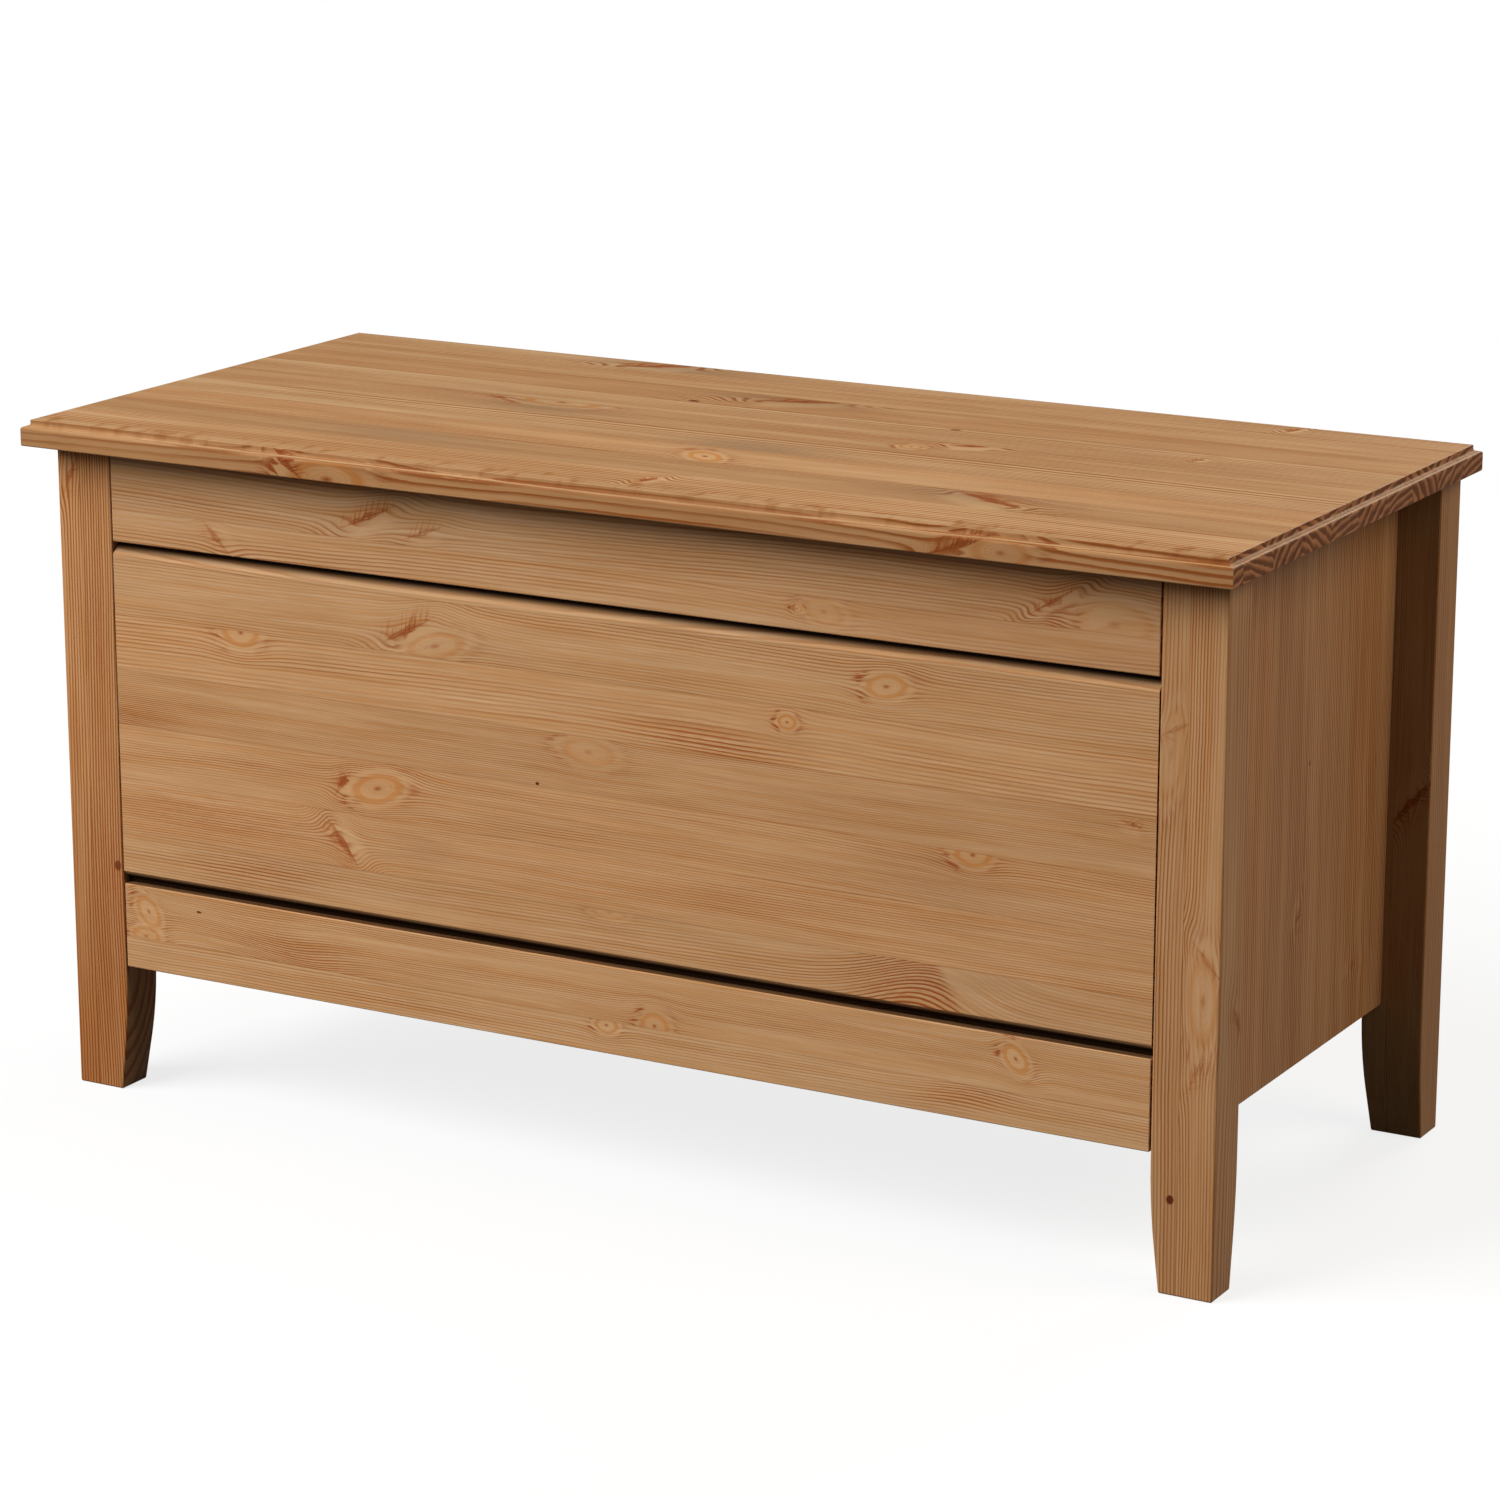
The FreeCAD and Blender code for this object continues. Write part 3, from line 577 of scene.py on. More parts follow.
@dataclass(frozen=True)
class PineBoard:
    """One board of pine: how its staves lie and what grew in them. Lengths are in millimetres."""

    node: str
    along: Axis
    across: Axis
    through: Axis
    stave_width: float
    glue_line: float
    seed: float
    ring_width: float = 2.0
    pith_near: float = 50.0
    pith_far: float = 140.0
    pith_depth: float = 38.0
    contrast: float = 0.80
    amber: float = 0.8
    # The tint is each board's tone; on the lid and the bottom rail it also offsets how the lamps fall, as
    # painted shade and painted light. The edge colour is the real colour of the lid's edges and of the rear
    # right leg's sides, and painted shade in the front's grooves, where the two groove ranges lay it.
    tint: Colour = (1.0, 1.0, 1.0)
    edge_tint: Colour = (1.0, 1.0, 1.0)
    edge_lean: tuple[float, float] = (0.35, 0.75)
    low_groove: tuple[float, float] = (-1001.0, -1000.0)
    high_groove: tuple[float, float] = (1000.0, 1001.0)
    knots: tuple[Knot, ...] = ()
    tones: ClassVar[PineTones] = PineTones()
    grain: ClassVar[PineGrain] = PineGrain()
    steep: ClassVar[float] = 20.0

    def dress(self) -> None:
        """Give the board's CAD node its own cut of pine."""
        set_material(self.node, self.material())

    def material(self) -> Material:
        """The board's pine.

        Returns:
            A material whose rings run through the board, and show as arcs on its ends.
        """
        surface, grain = Surface(f"pine_{self.node}"), self.grain
        spot = self.spot(surface)
        along, across, through, stave = spot.along, spot.across, spot.through, spot.stave
        masks = {home: self.mask(spot, *home) for home in dict.fromkeys(map(self.home, self.knots))}
        traces = [self.trace(surface, spot, knot, masks[self.home(knot)]) for knot in self.knots]
        bent = across - self.parting(across, [each for each in traces if each.knot.on is Where.FACE])
        sunk = through - self.parting(through, [each for each in traces if each.knot.on is not Where.FACE])
        chances = surface.chance(stave * 3.7 + self.seed)
        rings = self.rings(surface, spot, bent, sunk, chances)
        hair = grain.hair.at(along, bent, sunk, self.seed).rise(-0.02, 0.12)
        marks = self.knot_marks(surface, spot, traces, hair)
        fibre = grain.fibre.at(along, across, through)
        strand = grain.strand.at(along, bent, sunk, stave * 7.0)
        blotch = grain.blotch.at(along, across, through, self.seed)
        amber = grain.amber.at(along, bent, sunk, stave * 2.3)

        band_place = (along / grain.band_length, rings.radius / grain.band_width, stave * 4.3 + self.seed)
        bands = surface.noise(band_place)
        contrast = (bands * 2.6 + 0.62).at_least(0.12) * self.contrast + marks.boost
        lines = (rings.late * contrast * (1.0 - marks.cover)).at_least(0.0).at_most(1.0)
        line_colour = surface.mix(share_of(marks.boost, 0.8), self.tones.late, self.tones.knot_red)
        colour = surface.mix(lines, self.tones.early, line_colour)
        colour = self.tinted(surface, amber.rise(-0.16, 0.20) * self.amber, colour, self.tones.amber)
        colour = self.painted(surface, colour, marks)
        end = abs(surface.facing()[self.along.value]).rise(0.55, 0.9)
        pale = rings.arc.rise(0.25, 0.75) * rings.arc.fall(0.85, 1.0) + strand * 0.6
        pale = pale.at_least(0.0).at_most(1.0)
        colour = surface.mix(end, colour, surface.mix(pale, self.tones.end_dark, self.tones.end_light))
        # Lay the edge colour over the leaning faces and the two groove ranges: the real colour of edge grain
        # on the lid, and painted shade in the front's grooves.
        groove = across.fall(*self.low_groove) + across.rise(*self.high_groove)
        edge = (abs(spot.lean).rise(*self.edge_lean) + groove).at_most(1.0)
        colour = self.tinted(surface, edge, colour, self.edge_tint)
        unevenness = fibre * grain.fibre_shade, strand * grain.strand_shade, blotch * grain.blotch_shade
        colour = self.graded(surface, spot, colour, unevenness, chances)
        roughness = grain.roughness + fibre * 0.18 - lines * 0.05 + end * 0.15
        normal = surface.bump(fibre * 0.6 + strand * 0.3 + lines * 0.3, 0.35, grain.relief * MM)
        return surface.close(Base_Color=colour, Roughness=roughness, Normal=normal,
                             Specular_IOR_Level=grain.gloss)

    def rings(self, surface: Surface, spot: Spot, bent: Value, sunk: Value,
              chances: Sequence[Value]) -> Rings:
        """Draw the rings about a pith that lies beside and below each stave.

        Args:
            surface: The material's tree.
            spot: The point on the board.
            bent: Its place across the board, as the grain runs.
            sunk: Its depth, as the grain runs.
            chances: The stave's random numbers.

        Returns:
            The rings at the point.
        """
        grain, stave = self.grain, spot.stave
        first, second, third = chances
        drift = surface.noise((spot.along / grain.drift_length, stave * 5.3 + self.seed), 1.0) * grain.drift
        sway_place = (spot.along / grain.sway_length, spot.across / grain.sway_width, stave * 3.1 + self.seed)
        sway = surface.noise(sway_place) * grain.sway
        middle = (stave + 0.5) * self.stave_width + self.glue_line
        side = (first * 2.0).floor() * 2.0 - 1.0
        aside = (first * 2.0).fraction() * (self.pith_far - self.pith_near) + self.pith_near
        from_pith = bent - middle + side * aside + drift + sway
        level = sunk - self.middle_level() + second * self.pith_depth + grain.pith_gap
        radius = (from_pith * from_pith + level * level).root() + spot.wobble * 0.4
        pace = surface.noise((radius / grain.pace_width, stave * 9.1 + self.seed))
        ring = (radius / (self.ring_width * (third * 0.6 + 0.7)) + pace * grain.pace).fraction()
        late = ring.rise(0.36, 0.88) * ring.fall(0.90, 1.0)
        end_radius = (from_pith * from_pith * grain.arc_flatness + level * level).root()
        arc = (end_radius / (self.ring_width * grain.arc_stretch) + pace).fraction()
        return Rings(radius, late, arc)

    def graded(self, surface: Surface, spot: Spot, colour: Socket, unevenness: Sequence[Value],
               chances: Sequence[Value]) -> Socket:
        """Shade the wood by its fibres, and each stave and board by its own tone.

        Args:
            surface: The material's tree.
            spot: The point on the board.
            colour: The wood's colour.
            unevenness: What the fibres, strands and blotches add to the shade.
            chances: The stave's random numbers.

        Returns:
            The shaded colour.
        """
        grain = self.grain
        first, second, _ = chances
        fibre, strand, blotch = unevenness
        glue = (((spot.across - self.glue_line) / self.stave_width + 0.5).fraction() - 0.5) * self.stave_width
        seam = (glue / grain.seam_width).bell() * spot.on_face
        shade = 1.0 + fibre + strand + blotch + (second - 0.5) * grain.stave_shade
        shade = shade * (1.0 - seam * grain.seam_shade)
        warm = 1.0 + (first - 0.5) * grain.stave_warmth
        red, green, blue = self.tint
        grade = surface.vector(shade * warm * red, shade ** grain.green_depth * green,
                               shade ** grain.blue_depth * (2.0 - warm) * blue)
        return surface.mix(1.0, colour, grade, "MULTIPLY")

    def spot(self, surface: Surface) -> Spot:
        """Find where a point lies on the board.

        Args:
            surface: The material's tree.

        Returns:
            The point's place, and the noise there.
        """
        place = surface.place()
        along, across, through = (place[axis.value] for axis in (self.along, self.across, self.through))
        stave = ((across - self.glue_line) / self.stave_width).floor()
        wobble = self.grain.wobble.at(along, across, through, self.seed)
        lean = surface.facing()[self.across.value]
        return Spot(along, across, through, stave, wobble, lean, abs(lean).fall(0.75, 0.95))

    def middle_level(self) -> float:
        """The middle of the board's thickness, in millimetres."""
        low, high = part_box(self.node)
        return (low[self.through.value] + high[self.through.value]) / 2.0 / MM

    @staticmethod
    def trace(surface: Surface, spot: Spot, knot: Knot, here: Value) -> KnotTrace:
        """Where a point lies in one knot.

        Args:
            surface: The material's tree.
            spot: The point on the board.
            knot: The knot.
            here: One on the stave or edge that the knot shows on.

        Returns:
            The point's place in the knot's oval.
        """
        found = surface.use(oval_group(), {
            "along": spot.along, "across": spot.across if knot.on is Where.FACE else spot.through,
            "wobble": spot.wobble, "here": here, "place_along": knot.along, "place_across": knot.across,
            "half_length": knot.half_length, "half_width": knot.half_width, "slant": math.radians(knot.slant),
            "strength": knot.strength})
        return KnotTrace(knot, here, **found)

    def home(self, knot: Knot) -> tuple[Where, int]:
        """The side of the board that a knot shows on, and the number of its stave."""
        number = math.floor((knot.across - self.glue_line) / self.stave_width)
        return knot.on, number if knot.on is Where.FACE else 0

    @staticmethod
    def mask(spot: Spot, side: Where, number: int) -> Value:
        """Mark where a knot can show.

        Args:
            spot: The point on the board.
            side: The side that the knot shows on.
            number: The number of its stave, on a face.

        Returns:
            One on that stave or edge, else zero.
        """
        if side is Where.FACE:
            return spot.stave.is_near(float(number), 0.5) * spot.on_face
        return (spot.lean * float(side.value)).rise(0.5, 0.85)

    @staticmethod
    def parting(width_way: Value, traces: Sequence[KnotTrace]) -> Number:
        """How far the grain is drawn aside by knots.

        Args:
            width_way: The point's place across the side that the knots show on.
            traces: Its place in each of those knots.

        Returns:
            The way that the grain is shifted, in millimetres.
        """
        total: Number = 0.0
        for trace in traces:
            knot = trace.knot
            if knot.kind in (KnotKind.EYE, KnotKind.FEATHER):
                total = total + (width_way - knot.across) * trace.near * 0.85
            elif knot.kind is KnotKind.STREAK:
                total = total + trace.near * (math.tan(math.radians(knot.slant)) * knot.half_length * 0.5)
        return total

    def knot_marks(self, surface: Surface, spot: Spot, traces: Sequence[KnotTrace], hair: Value) -> KnotMarks:
        """Add up the colour marks of all the board's knots.

        Args:
            surface: The material's tree.
            spot: The point on the board.
            traces: The point's place in each knot.
            hair: Fine strokes that follow the grain.

        Returns:
            The marks at the point.
        """
        marks = KnotMarks()
        for trace in traces:
            knot, here, near, lengthwise = trace.knot, trace.here, trace.near, trace.lengthwise
            shape = {"lengthwise": lengthwise, "crosswise": trace.crosswise, "near": near, "here": here,
                     "strength": knot.strength}
            if knot.kind is KnotKind.EYE:
                marks.add(surface.use(eye_group(), shape | {"distance": trace.distance, "hair": hair}))
            elif knot.kind is KnotKind.FEATHER:
                marks.add(surface.use(feather_group(), shape | {
                    "wobble": spot.wobble, "half_length": knot.half_length, "half_width": knot.half_width,
                    "seed": self.seed}))
            elif knot.kind is KnotKind.STREAK:
                tail = near * lengthwise.fall(-0.05, 0.25) if abs(knot.slant) > self.steep else near
                marks.add({"cover": (near - tail) * 0.8, "boost": tail * 0.9, "red": tail * hair * 0.25})
            elif knot.kind is KnotKind.SMOKE:
                marks.add({"smoke": near * (spot.wobble * 0.5 + 0.5)})
            elif knot.kind is KnotKind.STAIN:
                marks.add({"stain": near})
            elif knot.kind is KnotKind.RIPPLE:
                beat = surface.noise((spot.along / 11.0, spot.across / 26.0, self.seed), 2.0)
                inside = abs(trace.crosswise).fall(0.4, 1.0) * knot.strength
                marks.add({"stain": inside * beat.rise(-0.02, 0.22)})
            else:
                marks.add({"dark": trace.distance.fall(0.6, 1.0) * here * knot.strength})
        return marks

    def painted(self, surface: Surface, colour: Socket,
                marks: KnotMarks) -> Socket:
        """Lay the knots' marks over the grain's colour.

        Args:
            surface: The material's tree.
            colour: The grain's colour.
            marks: The knots' marks.

        Returns:
            The colour with the marks.
        """
        if isinstance(marks.stain, Value):
            colour = self.tinted(surface, marks.stain, colour, self.tones.stain)
        for share, tone in ((marks.pale, self.tones.knot_pale), (marks.orange, self.tones.knot_orange),
                            (marks.smoke, self.tones.smoke), (marks.red, self.tones.knot_red),
                            (marks.dark, self.tones.knot_dark)):
            if isinstance(share, Value):
                colour = surface.mix(share, colour, tone)
        return colour

    @staticmethod
    def tinted(surface: Surface, share: Number, colour: Socket,
               tint: Colour) -> Socket:
        """A colour that a tint darkens in part."""
        return surface.mix(share, colour, surface.mix(1.0, colour, tint, "MULTIPLY"))


def share_of(number: Number, share: float) -> Number:
    """A share of a number or value, at most one."""
    return (number * share).at_most(1.0) if isinstance(number, Value) else min(number * share, 1.0)


def new_object(name: str, content: bpy.types.ID) -> bpy.types.Object:
    """Add an object to the scene.

    Args:
        name: Its name.
        content: Its mesh, light or camera.

    Returns:
        The object.
    """
    made = bpy.data.objects.new(name, content)
    bpy.context.scene.collection.objects.link(made)
    return made


def set_material(node: str, material: Material) -> None:
    """Put a material on a CAD node.

    Args:
        node: The node's name.
        material: Its material.
    """
    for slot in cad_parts[node].material_slots:
        slot.material = material
    log.info("dressed %s in %s", node, material.name)


EYE, FEATHER, STREAK = KnotKind.EYE, KnotKind.FEATHER, KnotKind.STREAK
SMOKE, SPECK = KnotKind.SMOKE, KnotKind.SPECK
STAIN, RIPPLE = KnotKind.STAIN, KnotKind.RIPPLE


@dataclass
class Front:
    """The front: two rails and the bevelled panel of glued staves."""

    stave_width: float = 38.75
    panel_glue_line: float = 268.5
    top_rail_glue_line: float = 420.0
    bottom_rail_glue_line: float = 115.0
    panel_knots: tuple[Knot, ...] = (
        Knot(FEATHER, -151, 362, 26, 9, 28, 1.0),
        Knot(EYE, -131, 354, 24, 9, 14, 0.8),
        Knot(EYE, -288, 345, 15, 10, 0, 1.2),
        Knot(EYE, 206, 368, 15, 8, 8, 1.2),
        Knot(EYE, 135, 336, 7, 5, 0, 1.5),
        Knot(EYE, -13, 297, 20, 9, -4, 0.6),
        Knot(STREAK, 82, 314, 42, 9, -6, 0.9),
        Knot(FEATHER, 377, 301, 10, 5, -15, 0.6),
        Knot(STREAK, -384, 272, 26, 8, 4, 0.9),
        Knot(EYE, 268, 267, 13, 8, 0, 1.3),
        Knot(EYE, -179, 250, 21, 10, 14, 1.2),
        Knot(FEATHER, -207, 249, 13, 7, 55, 0.5),
        Knot(FEATHER, -207, 209, 23, 9, 128, 1.0),
        Knot(STREAK, -280, 180, 40, 12, 4, 0.7),
        Knot(SPECK, -52.5, 270.5, 1.8, 1.4),
        Knot(EYE, 2, 190, 13, 5, 0, 0.5),
        Knot(STREAK, 242, 187, 44, 24, 32, 1.5),
        Knot(STREAK, 205, 222, 200, 11, 0, 0.3),
        Knot(STREAK, -320, 212, 85, 13, 0, 0.6),
        Knot(SMOKE, 245, 242, 42, 12, 0, 0.4),
        Knot(SMOKE, -145, 212, 18, 7, 0, 0.4),
        Knot(SMOKE, 280, 187, 40, 8, 0, 0.3),
    )
    top_rail_knots: tuple[Knot, ...] = (
        Knot(FEATHER, -182, 435, 27, 8, 24, 1.1),
        Knot(FEATHER, -138, 429, 18, 7, 20, 0.6),
        Knot(FEATHER, -306, 410, 18, 8, 135, 0.6),
        Knot(EYE, 142, 411, 4, 3, 0, 1.2),
        Knot(EYE, 161, 411, 15, 8, -12, 0.6),
        Knot(FEATHER, 322, 436, 24, 4, 32, 0.8),
        Knot(EYE, 362, 426, 26, 14, 0, 0.5),
        Knot(STREAK, 338, 422, 20, 12, -35, 0.9),
        # These two stains darken the rail's right end, around its knots.
        Knot(STAIN, 330, 430, 120, 60, 0, 0.35),
        Knot(STAIN, 330, 410, 120, 60, 0, 0.35),
    )
    bottom_rail_knots: tuple[Knot, ...] = (
        Knot(EYE, -373, 135, 13, 8, -52, 1.0),
        Knot(EYE, -376, 117, 12, 7, 0, 1.0),
        Knot(STREAK, -242, 118, 42, 12, -16, 0.9),
        Knot(EYE, -1, 112, 9, 6, 0, 1.3),
        Knot(EYE, 36, 117, 11, 9, 0, 1.2),
        Knot(EYE, 300, 138, 11, 7, -45, 1.3),
        Knot(STREAK, 266, 109, 26, 8, 14, 0.8),
        Knot(SPECK, -330, 141, 2.5, 1.0),
    )

    def dress(self) -> None:
        """Give the three boards their pine, with painted shade in the grooves between them."""
        lie = {"along": Axis.X, "across": Axis.Z, "through": Axis.Y, "stave_width": self.stave_width}
        # The panel's near-black edge colour, laid over its bevels and tongues by the two groove ranges, is
        # painted shade in the grooves under the top rail and above the bottom rail.
        PineBoard("front_panel", glue_line=self.panel_glue_line, seed=11.0, edge_tint=(0.03, 0.022, 0.018),
                  edge_lean=(2.0, 3.0), low_groove=(158.0, 161.5), high_groove=(387.5, 394.3),
                  knots=self.panel_knots, **lie).dress()
        PineBoard("front_top_rail", glue_line=self.top_rail_glue_line, seed=27.0, tint=(0.93, 0.94, 0.96),
                  knots=self.top_rail_knots, **lie).dress()
        # The bottom rail's lighter tint makes up for the weaker lamp light low down, a painted brightening,
        # and its dark edge colour on its top and bottom faces is painted shade in the groove under the panel.
        PineBoard("front_bottom_rail", glue_line=self.bottom_rail_glue_line, seed=35.0,
                  tint=(1.09, 1.12, 1.15), edge_tint=(0.25, 0.22, 0.20), edge_lean=(0.85, 0.98),
                  knots=self.bottom_rail_knots, **lie).dress()


@dataclass
class Lid:
    """The lid board and its two battens."""

    stave_width: float = 45.0
    glue_line: float = -10.0
    batten_stave_width: float = 60.0
    batten_glue_line: float = -260.0
    top_knots: tuple[Knot, ...] = (
        Knot(FEATHER, -175, 184, 34, 14, 26, 1.7),
        Knot(SMOKE, -160, 182, 50, 14, 0, 0.9),
        Knot(FEATHER, -16, 114, 40, 13, 20, 1.7),
        Knot(SMOKE, -30, 116, 42, 12, 0, 1.1),
        Knot(SPECK, -85, 82, 5, 3),
        Knot(EYE, -162, 32, 32, 13, 0, 1.4),
        Knot(STREAK, -215, 30, 60, 6, 0, 1.0),
        Knot(SMOKE, -165, 8, 45, 16, 0, 0.8),
        Knot(STREAK, 90, 32, 60, 5, 0, 1.0),
        Knot(EYE, 123, 10, 9, 7, 0, 1.8),
        Knot(FEATHER, 157, 29, 17, 9, 15, 1.7),
        Knot(SPECK, 122, 77, 5, 3, 0, 0.7),
        Knot(SMOKE, 35, -43, 38, 14, 0, 0.9),
        Knot(EYE, 20, -85, 18, 10, -40, 1.7),
        Knot(FEATHER, 245, -121, 38, 15, -27, 1.6),
        Knot(SMOKE, 225, -112, 40, 14, 0, 0.8),
        Knot(SMOKE, -190, -120, 62, 18, 0, 0.6),
        Knot(FEATHER, 27, -170, 14, 6, 75, 1.2),
        Knot(FEATHER, 322, 187, 12, 5, 70, 1.2),
        Knot(FEATHER, 308, 62, 10, 5, 70, 0.8),
        Knot(RIPPLE, -200, -191, 900, 14, 0, 1.0),
        Knot(STAIN, -200, -180, 160, 16, 0, 0.5),
    )
    edge_knots: tuple[Knot, ...] = (
        Knot(FEATHER, -232, 471, 24, 7, -35, 1.5, Where.LOW_EDGE),
        Knot(EYE, -198, 464, 30, 13, 0, 1.3, Where.LOW_EDGE),
        Knot(FEATHER, 268, 469, 30, 7, 20, 1.3, Where.LOW_EDGE),
        Knot(EYE, 296, 468, 20, 10, 0, 0.9, Where.LOW_EDGE),
    )

    def dress(self) -> None:
        """Give the lid and its battens their pine."""
        # The lid's tint darkens it to offset the stronger lamp light on its top, a painted shade, and its
        # higher green and blue stand in for a sheen on it, a painted sheen.
        PineBoard("lid_board", Axis.X, Axis.Y, Axis.Z, self.stave_width, self.glue_line, seed=53.0,
                  ring_width=2.6, pith_near=30.0, pith_far=110.0, contrast=1.6, amber=0.6,
                  tint=(0.885, 0.935, 0.965), edge_tint=(0.80, 0.68, 0.58),
                  knots=self.top_knots + self.edge_knots).dress()
        for node, seed in (("left_lid_batten", 113.0), ("right_lid_batten", 127.0)):
            PineBoard(node, Axis.Y, Axis.X, Axis.Z, self.batten_stave_width, self.batten_glue_line,
                      seed=seed).dress()


@dataclass
class Legs:
    """The four legs, each of upright staves."""

    stave_width: float = 30.0
    left_glue_line: float = -420.0
    right_glue_line: float = 412.7
    left_knots: tuple[Knot, ...] = (
        Knot(SPECK, 165, -398.5, 4.5, 3.5, 0, 0.8),
        Knot(STREAK, 165, -400, 22, 8, 0, 0.8),
        Knot(FEATHER, 441, -428, 20, 7, 25, 0.7),
        Knot(STREAK, 250, -408, 160, 5, 0, 0.6),
        Knot(STAIN, 20, -428, 110, 60, 0, 1.0),
        Knot(STAIN, 60, -400, 80, 60, 0, 0.6),
    )
    right_knots: tuple[Knot, ...] = (
        Knot(FEATHER, 367, 405, 15, 6, 62, 0.4),
        Knot(EYE, 350, 402, 30, 9, 8, 0.4),
        Knot(FEATHER, 222, 430, 20, 7, 140, 0.4),
        Knot(EYE, 196, 427, 30, 10, 0, 0.7),
        Knot(FEATHER, 148, 422, 16, 5, 20, 0.4),
        Knot(FEATHER, 178, -152, 16, 8, 150, 0.8, Where.HIGH_EDGE),
        Knot(SPECK, 63.5, 408, 3.8, 3.2),
    )
    rear_knots: tuple[Knot, ...] = (
        Knot(FEATHER, 240, 424, 30, 9, 40, 1.0),
    )

    def dress(self) -> None:
        """Give the legs their pine."""
        upright = {"along": Axis.Z, "across": Axis.X, "through": Axis.Y, "stave_width": self.stave_width}
        left, right = self.left_glue_line, self.right_glue_line
        PineBoard("front_left_leg", glue_line=left, seed=61.0, contrast=2.1, tint=(0.99, 0.92, 0.85),
                  knots=self.left_knots, **upright).dress()
        PineBoard("front_right_leg", glue_line=right, seed=67.0, contrast=1.35, tint=(0.90, 0.86, 0.82),
                  knots=self.right_knots, **upright).dress()
        PineBoard("rear_left_leg", glue_line=left, seed=71.0, tint=(0.80, 0.76, 0.70), **upright).dress()
        PineBoard("rear_right_leg", glue_line=right, seed=73.0, tint=(0.66, 0.70, 0.68),
                  edge_tint=(1.05, 0.86, 0.66), knots=self.rear_knots, **upright).dress()


@dataclass
class Sides:
    """The two side panels of upright staves."""

    stave_width: float = 60.0
    glue_line: float = -41.0
    right_knots: tuple[Knot, ...] = (
        Knot(FEATHER, 197, 11, 16, 8, 30, 0.7),
        Knot(FEATHER, 137, 106, 7, 12, 0, 0.5),
        Knot(SPECK, 297, 24, 2.0, 3.0, 0, 0.4),
        Knot(STREAK, 242, 134, 26, 9, 20, 0.8),
    )
    left_knots: tuple[Knot, ...] = (
        Knot(EYE, 330, -70, 20, 9, 8, 0.8),
        Knot(FEATHER, 180, 60, 20, 9, 150, 0.8),
    )

    def dress(self) -> None:
        """Give the side panels their pine."""
        lie = {"along": Axis.Z, "across": Axis.Y, "through": Axis.X, "stave_width": self.stave_width,
               "glue_line": self.glue_line, "ring_width": 2.4, "contrast": 2.2, "tint": (1.0, 0.95, 0.90)}
        PineBoard("right_side_panel", seed=83.0, knots=self.right_knots, **lie).dress()
        PineBoard("left_side_panel", seed=89.0, knots=self.left_knots, **lie).dress()


@dataclass(frozen=True)
class Plywood:
    """Birch plywood, rotary cut: broad waves of pale grain, and plies on the cut edges."""

    name: str
    along: Axis
    across: Axis
    through: Axis
    pale: Colour = (0.560, 0.360, 0.185)
    deep: Colour = (0.410, 0.225, 0.098)
    ply_step: float = 1.3
    wave_width: float = 34.0
    thread_width: float = 6.5
    gloss: float = 0.05

    def material(self) -> Material:
        """The plywood's material.

        Returns:
            A material with wandering growth lines, short pores and striped edges.
        """
        surface = Surface(self.name)
        place = surface.place()
        along, across, through = (place[axis.value] for axis in (self.along, self.across, self.through))
        wander = surface.noise((along / 260.0, across / 110.0, 3.0), 2.0)
        swirl = surface.noise((along / 60.0, across / 22.0, 8.0), 2.0)
        growth = (across / self.wave_width + wander * 5.0 + swirl * 0.5).fraction()
        waves = growth.rise(0.1, 0.8) * growth.fall(0.82, 1.0)
        thread = (across / self.thread_width + wander * 26.0 + swirl * 2.6).fraction()
        threads = thread.rise(0.2, 0.85) * thread.fall(0.88, 1.0)
        pores = surface.noise((along / 6.0, across / 0.5, through), 2.0)
        blotch = surface.noise((along / 120.0, across / 50.0, 5.0), 2.0)
        plies = (through / (self.ply_step * 2.0)).fraction().rise(0.45, 0.55)
        on_face = abs(surface.facing()[self.through.value]).rise(0.5, 0.8)
        figure = waves * 0.38 + threads * 0.24 + pores * 0.35
        share = on_face * figure + (1.0 - on_face) * (plies * 0.8 + 0.1)
        colour = surface.mix(share + blotch * 0.3, self.pale, self.deep)
        normal = surface.bump(pores, 0.25, 0.2 * MM)
        return surface.close(Base_Color=colour, Roughness=0.58 + pores * 0.2, Normal=normal,
                             Specular_IOR_Level=self.gloss)


@dataclass(frozen=True)
class Metal:
    """A plated metal with a brushed grain and a little tarnish."""

    name: str
    bright: Colour
    tarnish: Colour
    roughness: float
    brushed_along: Axis = Axis.X

    def material(self) -> Material:
        """The metal's material.

        Returns:
            A metal whose gloss is broken by fine scratches and by cloudy tarnish.
        """
        surface = Surface(self.name)
        place = surface.place()
        scale = [0.22, 0.22, 0.22]
        scale[self.brushed_along.value] = 14.0
        scratches = surface.noise([axis / size for axis, size in zip(place, scale)], 2.0)
        cloud = surface.noise([axis / 9.0 for axis in place], 4.0, 0.6)
        colour = surface.mix(cloud.rise(-0.08, 0.3) * 0.7, self.bright, self.tarnish)
        roughness = self.roughness + scratches * 0.16 + cloud * 0.22
        normal = surface.bump(scratches, 0.18, 0.05 * MM)
        return surface.close(Base_Color=colour, Roughness=roughness, Normal=normal, Metallic=1.0)


@dataclass(frozen=True)
class Felt:
    """Pressed wool felt."""

    name: str = "wool_felt"
    pale: Colour = (0.34, 0.28, 0.21)
    deep: Colour = (0.19, 0.15, 0.11)

    def material(self) -> Material:
        """The felt's material.

        Returns:
            A matt material of tangled hairs.
        """
        surface = Surface(self.name)
        place = surface.place()
        hairs = surface.noise([axis / 0.35 for axis in place], 4.0, 0.7)
        tufts = surface.noise([axis / 1.6 for axis in place], 2.0)
        colour = surface.mix((hairs + tufts).rise(-0.3, 0.3), self.deep, self.pale)
        normal = surface.bump(hairs + tufts * 0.5, 0.8, 0.3 * MM)
        return surface.close(Base_Color=colour, Roughness=0.95, Normal=normal,
                             Sheen_Weight=0.3, Sheen_Roughness=0.5)


